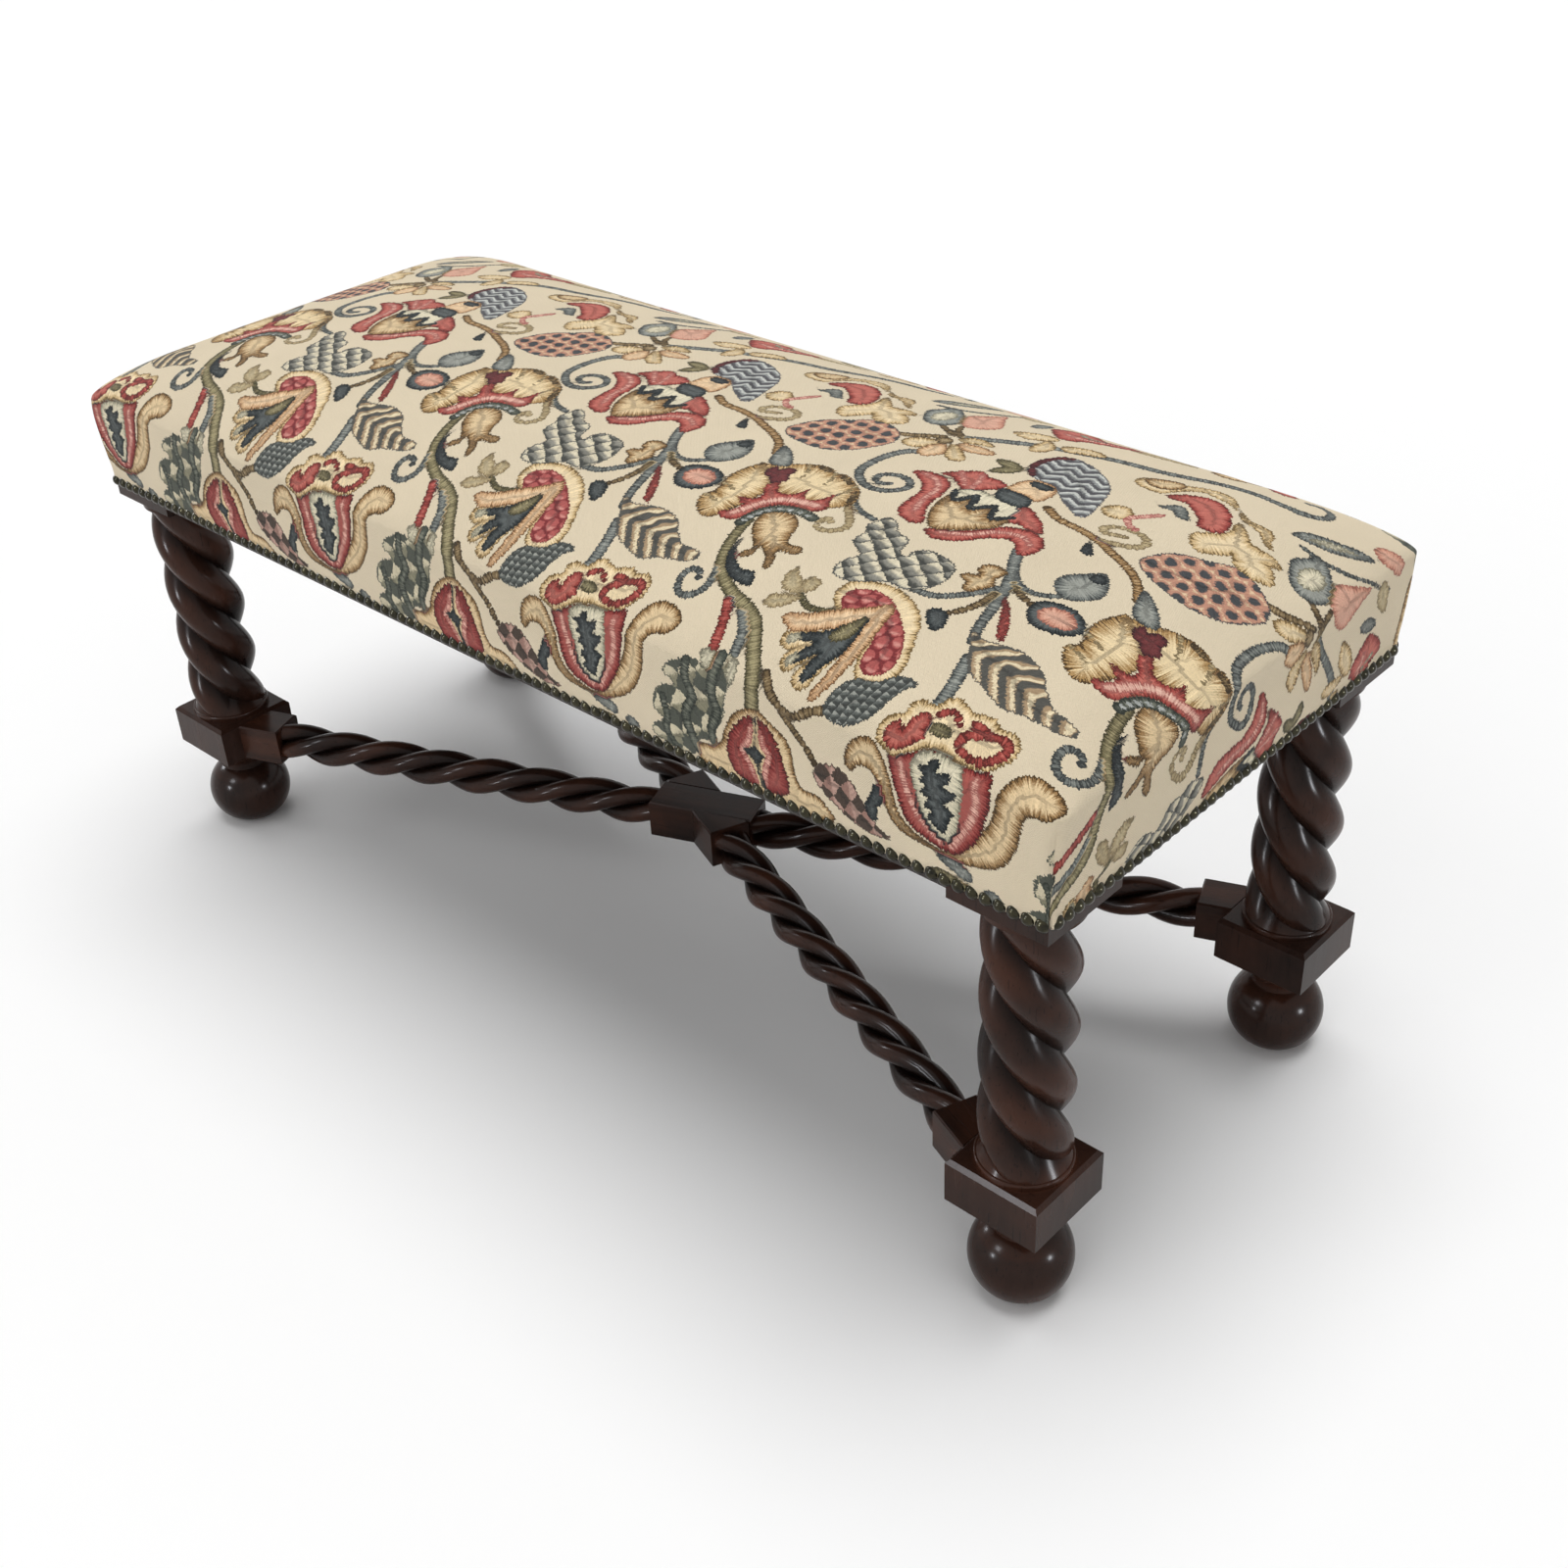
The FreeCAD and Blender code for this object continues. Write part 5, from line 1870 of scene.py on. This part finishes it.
    def dress(self, piece: bpy.types.Object) -> None:
        """Gives the cover its tapestry."""
        piece.data.materials.append(Tapestry("tapestry_wool").make())


@dataclass
class Underside:
    """The black cloth tacked under the rails.

    Attributes:
        node: the CAD node it stands for.
        corner: the leg whose inner corner gives the cut round all four.
        gap: room between the cut and the legs, in metres.
        clear: how far it lies below the CAD cloth's upper face, in metres.
        sag: how far it hangs in the middle, in metres.
        steps: faces along the length and the depth between the legs.
        corner_steps: faces beside a leg, each way.
    """

    node: str = "bottoming_cloth"
    corner: str = "leg_rear_right"
    gap: float = 0.001
    clear: float = 0.0003
    sag: float = 0.004
    steps: tuple[int, int] = (104, 32)
    corner_steps: int = 8

    def build(self) -> bpy.types.Object:
        """Returns the sheet: flat at its tacked edge, hanging as the root of the
        product of two half sine waves, with its corners cut out round the legs."""
        low, high = (np.array(c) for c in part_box(self.node))
        size = high - low
        inner = np.array(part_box(self.corner)[0]) - self.gap
        x, y = np.meshgrid(*(self._lines(inner[axis], high[axis], self.steps[axis]) for axis in (0, 1)))
        s, t = (x - low[0]) / size[0], (y - low[1]) / size[1]
        hang = np.sin(math.pi * s).clip(0) * np.sin(math.pi * t).clip(0)
        places = np.stack([x, y, high[2] - self.clear - self.sag * hang**0.5], 2).reshape(-1, 3)
        faces = grid_faces(np.arange(x.size).reshape(x.shape))[:, ::-1]
        middles = np.abs(places[faces].mean(1))
        faces = faces[(middles[:, :2] < inner[:2]).any(1)]
        used = np.unique(faces)
        piece = make_mesh("underside_cloth", places[used], np.searchsorted(used, faces))
        unwrap(piece, np.stack([s, t], 2).reshape(-1, 2)[used])
        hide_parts(self.node)
        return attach(piece, "root")

    def _lines(self, inner: float, edge: float, steps: int) -> np.ndarray:
        """Returns the grid lines of one direction, with one along each cut.

        Args:
            inner: half the distance between the cuts.
            edge: half the sheet's size.
            steps: faces between the cuts.
        """
        beside = np.linspace(inner, edge, self.corner_steps + 1)
        return np.concatenate([-beside[::-1], np.linspace(-inner, inner, steps + 1)[1:-1], beside])

    def dress(self, piece: bpy.types.Object) -> None:
        """Gives the sheet its cloth."""
        piece.data.materials.append(PlainCloth("black_cotton_cloth", (38, 36, 34), 900.0).make())


@dataclass
class Frame:
    """The CAD pieces that keep their shape and take a finish.

    Attributes:
        bar_turn: the stretcher bars' angle from the bench's length, in radians.
        bar_height: height of their centre line, in metres.
        bar_groove, foot_groove: radius up to which a bar and a foot are dark with painted shade, and from
            which they show wear.
    """

    bar_turn: float = math.radians(21.68)
    bar_height: float = 0.1085
    bar_groove: tuple[float, float] = (0.008, 0.0186)
    foot_groove: tuple[float, float] = (0.004, 0.030)

    def dress(self, nodes: dict[str, bpy.types.Object]) -> None:
        """Gives every CAD piece its finish.

        Args:
            nodes: the CAD pieces by name.
        """
        # the rails, pegs and dowels get painted shade below the tops of the front nails
        plain = PlainWood("rail_wood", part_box("nails_front")[1][2]).make()
        iron = Metal("tack_iron_dark", (36, 34, 32), (78, 74, 70), 0.42).make()
        starts = {
            "leg_": StainedWood("polished_leg", Turning.UPRIGHT).make(),
            # the foot is darkened with painted shade near its centre line: at its top under the block and
            # at its bottom by the floor
            "foot_": StainedWood("polished_foot", Turning.UPRIGHT, groove=self.foot_groove).make(),
            "nails_": Metal("aged_brass", (16, 16, 11), (62, 58, 39), 0.17, 0.30).make(),
            "seat_rail_": plain,
            "rail_pegs": plain,
            "stretcher_dowels": plain,
            "stretcher_bar_upper": self._bar("polished_bar_upper", self.bar_turn),
            "stretcher_bar_lower": self._bar("polished_bar_lower", -self.bar_turn),
            "webbing_tacks": iron,
            "bottoming_tacks": iron,
            "webbing_": PlainCloth("jute_bands", (150, 116, 74), 420.0).make(),
            "seat_canvas": PlainCloth("hessian_cloth", (158, 126, 84), 600.0).make(),
            "seat_stuffing": PlainCloth("fibre", (96, 70, 44), 300.0).make(),
            "seat_wadding": PlainCloth("cotton", (232, 226, 212), 260.0).make(),
        }
        for name, node in nodes.items():
            finish = next((made for start, made in starts.items() if name.startswith(start)), None)
            if finish is None:
                continue
            node.data.materials.clear()
            node.data.materials.append(finish)
            log.info("finish %s on %s", finish.name, name)

    def _bar(self, name: str, turn: float) -> bpy.types.Material:
        """Returns the finish of a stretcher bar that lies at an angle."""
        return StainedWood(name, Turning.BAR, turn, self.bar_height, groove=self.bar_groove).make()


@dataclass(frozen=True)
class Sun:
    """A far lamp that doesn't show in polished surfaces.

    Attributes:
        name: the lamp's name.
        source: the direction that its light comes from.
        strength: its strength.
        angle: how wide it looks, in degrees.
    """

    name: str
    source: tuple[float, float, float]
    strength: float
    angle: float

    def build(self) -> None:
        """Adds the lamp."""
        data = bpy.data.lights.new(self.name, "SUN")
        data.energy = self.strength
        data.angle = math.radians(self.angle)
        sun = bpy.data.objects.new(self.name, data)
        sun.visible_glossy = False
        sun.rotation_euler = Vector(self.source).to_track_quat("Z", "Y").to_euler()
        bpy.context.scene.collection.objects.link(sun)


@dataclass(frozen=True)
class Window:
    """A bright pane that only shows in polished surfaces.

    Attributes:
        name: the lamp's name.
        place: where it is, in metres.
        size: length of its sides, in metres.
        power: in watts.
        aim: the point that it faces, in metres.
        colour: colour of its light.
    """

    name: str
    place: tuple[float, float, float]
    size: float
    power: float
    aim: tuple[float, float, float] = (0.0, 0.0, 0.3)
    colour: Colour = (0.92, 0.95, 1.0)

    def build(self) -> None:
        """Adds the pane."""
        data = bpy.data.lights.new(self.name, "AREA")
        data.energy = self.power
        data.size = self.size
        data.color = self.colour
        lamp = bpy.data.objects.new(self.name, data)
        lamp.visible_diffuse = False
        lamp.location = self.place
        lamp.rotation_euler = (Vector(self.place) - Vector(self.aim)).to_track_quat("Z", "Y").to_euler()
        bpy.context.scene.collection.objects.link(lamp)


@dataclass
class Studio:
    """Camera, lamps and floor.

    Attributes:
        eye, target: where the camera is and what it looks at, in metres.
        roll: how far it is turned about its view, in radians.
        lens, sensor: its focal length and the width of its picture, in millimetres.
        sky: strength of the light from all around. The camera and polished surfaces see it as white.
        floor_half: half the floor's size, in metres.
        paper: colour of the floor.
        lamps: the lamps.
    """

    eye: tuple[float, float, float] = (1.0877, -1.0192, 1.1431)
    target: tuple[float, float, float] = (0.0521, 0.0505, 0.1412)
    roll: float = math.radians(-2.9571)
    lens: float = 44.561
    sensor: float = 36.0
    sky: float = 0.34
    floor_half: float = 30.0
    paper: Colour = (250, 250, 250)
    lamps: tuple[Sun | Window, ...] = (
        Sun("key", (-0.05, 0.22, 1.5), 1.97, 46.0),
        Sun("fill", (-0.15, -1.0, 0.55), 0.66, 60.0),
        Window("window_high", (-0.65, -2.4, 1.9), 0.55, 20.0),
        Window("window_low", (-0.75, -2.65, 0.78), 0.26, 16.0),
        Window("window_right", (2.9, 0.3, 0.7), 0.32, 20.0),
        Window("window_left", (-2.4, -0.6, 1.2), 0.30, 12.0),
    )

    def build(self) -> None:
        """Sets up the studio."""
        self._camera()
        self._floor()
        self._sky()
        for lamp in self.lamps:
            lamp.build()

    def _camera(self) -> None:
        """Adds the camera: it looks from the eye to the target, and then is
        turned about that line."""
        data = bpy.data.cameras.new("camera")
        data.lens, data.sensor_width, data.sensor_fit = self.lens, self.sensor, "HORIZONTAL"
        camera = bpy.data.objects.new("camera", data)
        bpy.context.scene.collection.objects.link(camera)
        eye = Vector(self.eye)
        ahead = (Vector(self.target) - eye).normalized()
        right = ahead.cross(Vector((0, 0, 1))).normalized()
        down = ahead.cross(right)
        turned = math.cos(self.roll) * right - math.sin(self.roll) * down
        low = math.sin(self.roll) * right + math.cos(self.roll) * down
        pose = Matrix((turned, -low, -ahead)).transposed().to_4x4()
        pose.translation = eye
        camera.matrix_world = pose
        bpy.context.scene.camera = camera

    def _floor(self) -> None:
        """Adds the floor, one square of plain paper."""
        ends = (-self.floor_half, self.floor_half)
        x, y = np.meshgrid(ends, ends)
        corners = np.stack([x, y, np.zeros_like(x)], 2).reshape(-1, 3)
        floor = make_mesh("floor", corners, grid_faces(np.arange(4).reshape(2, 2)))
        g = Graph.material("floor_paper")
        grain = g.noise(g.place(), 30.0, 2.0)
        base = g.tint(shade(*self.paper), grain * 0.004 + 1.0)
        floor.data.materials.append(g.finish(Base_Color=base, Roughness=0.95, Specular_IOR_Level=0.0))

    def _sky(self) -> None:
        """Sets the light from all around, which is plain white where it is seen."""
        scene = bpy.context.scene
        scene.view_settings.view_transform = "Standard"
        scene.world = bpy.data.worlds.new("studio")
        g = Graph(scene.world)
        camera, glossy, through = (
            g.add("ShaderNodeLightPath", {}, {}, ray)
            for ray in ("Is Camera Ray", "Is Glossy Ray", "Is Transmission Ray")
        )
        seen = camera.most(glossy).most(through)
        strength = g.add("ShaderNodeMapRange", {}, {"Value": seen, "To Min": self.sky})
        white = (1.0, 1.0, 1.0, 1.0)
        light = g.add("ShaderNodeBackground", {}, {"Color": white, "Strength": strength})
        g.close("ShaderNodeOutputWorld", light)


def main() -> None:
    """Builds and dresses the bench."""
    logging.basicConfig(level=logging.INFO, format="%(message)s")
    Frame().dress(frame["nodes"])
    cover = SeatCover(SeatForm.of("seat_cover"))
    piece = cover.build()
    cover.dress(piece)
    log.info("cover: %d faces", len(piece.data.polygons))
    underside = Underside()
    sheet = underside.build()
    underside.dress(sheet)
    log.info("underside: %d faces", len(sheet.data.polygons))
    Studio().build()


if __name__ == "__main__":
    main()
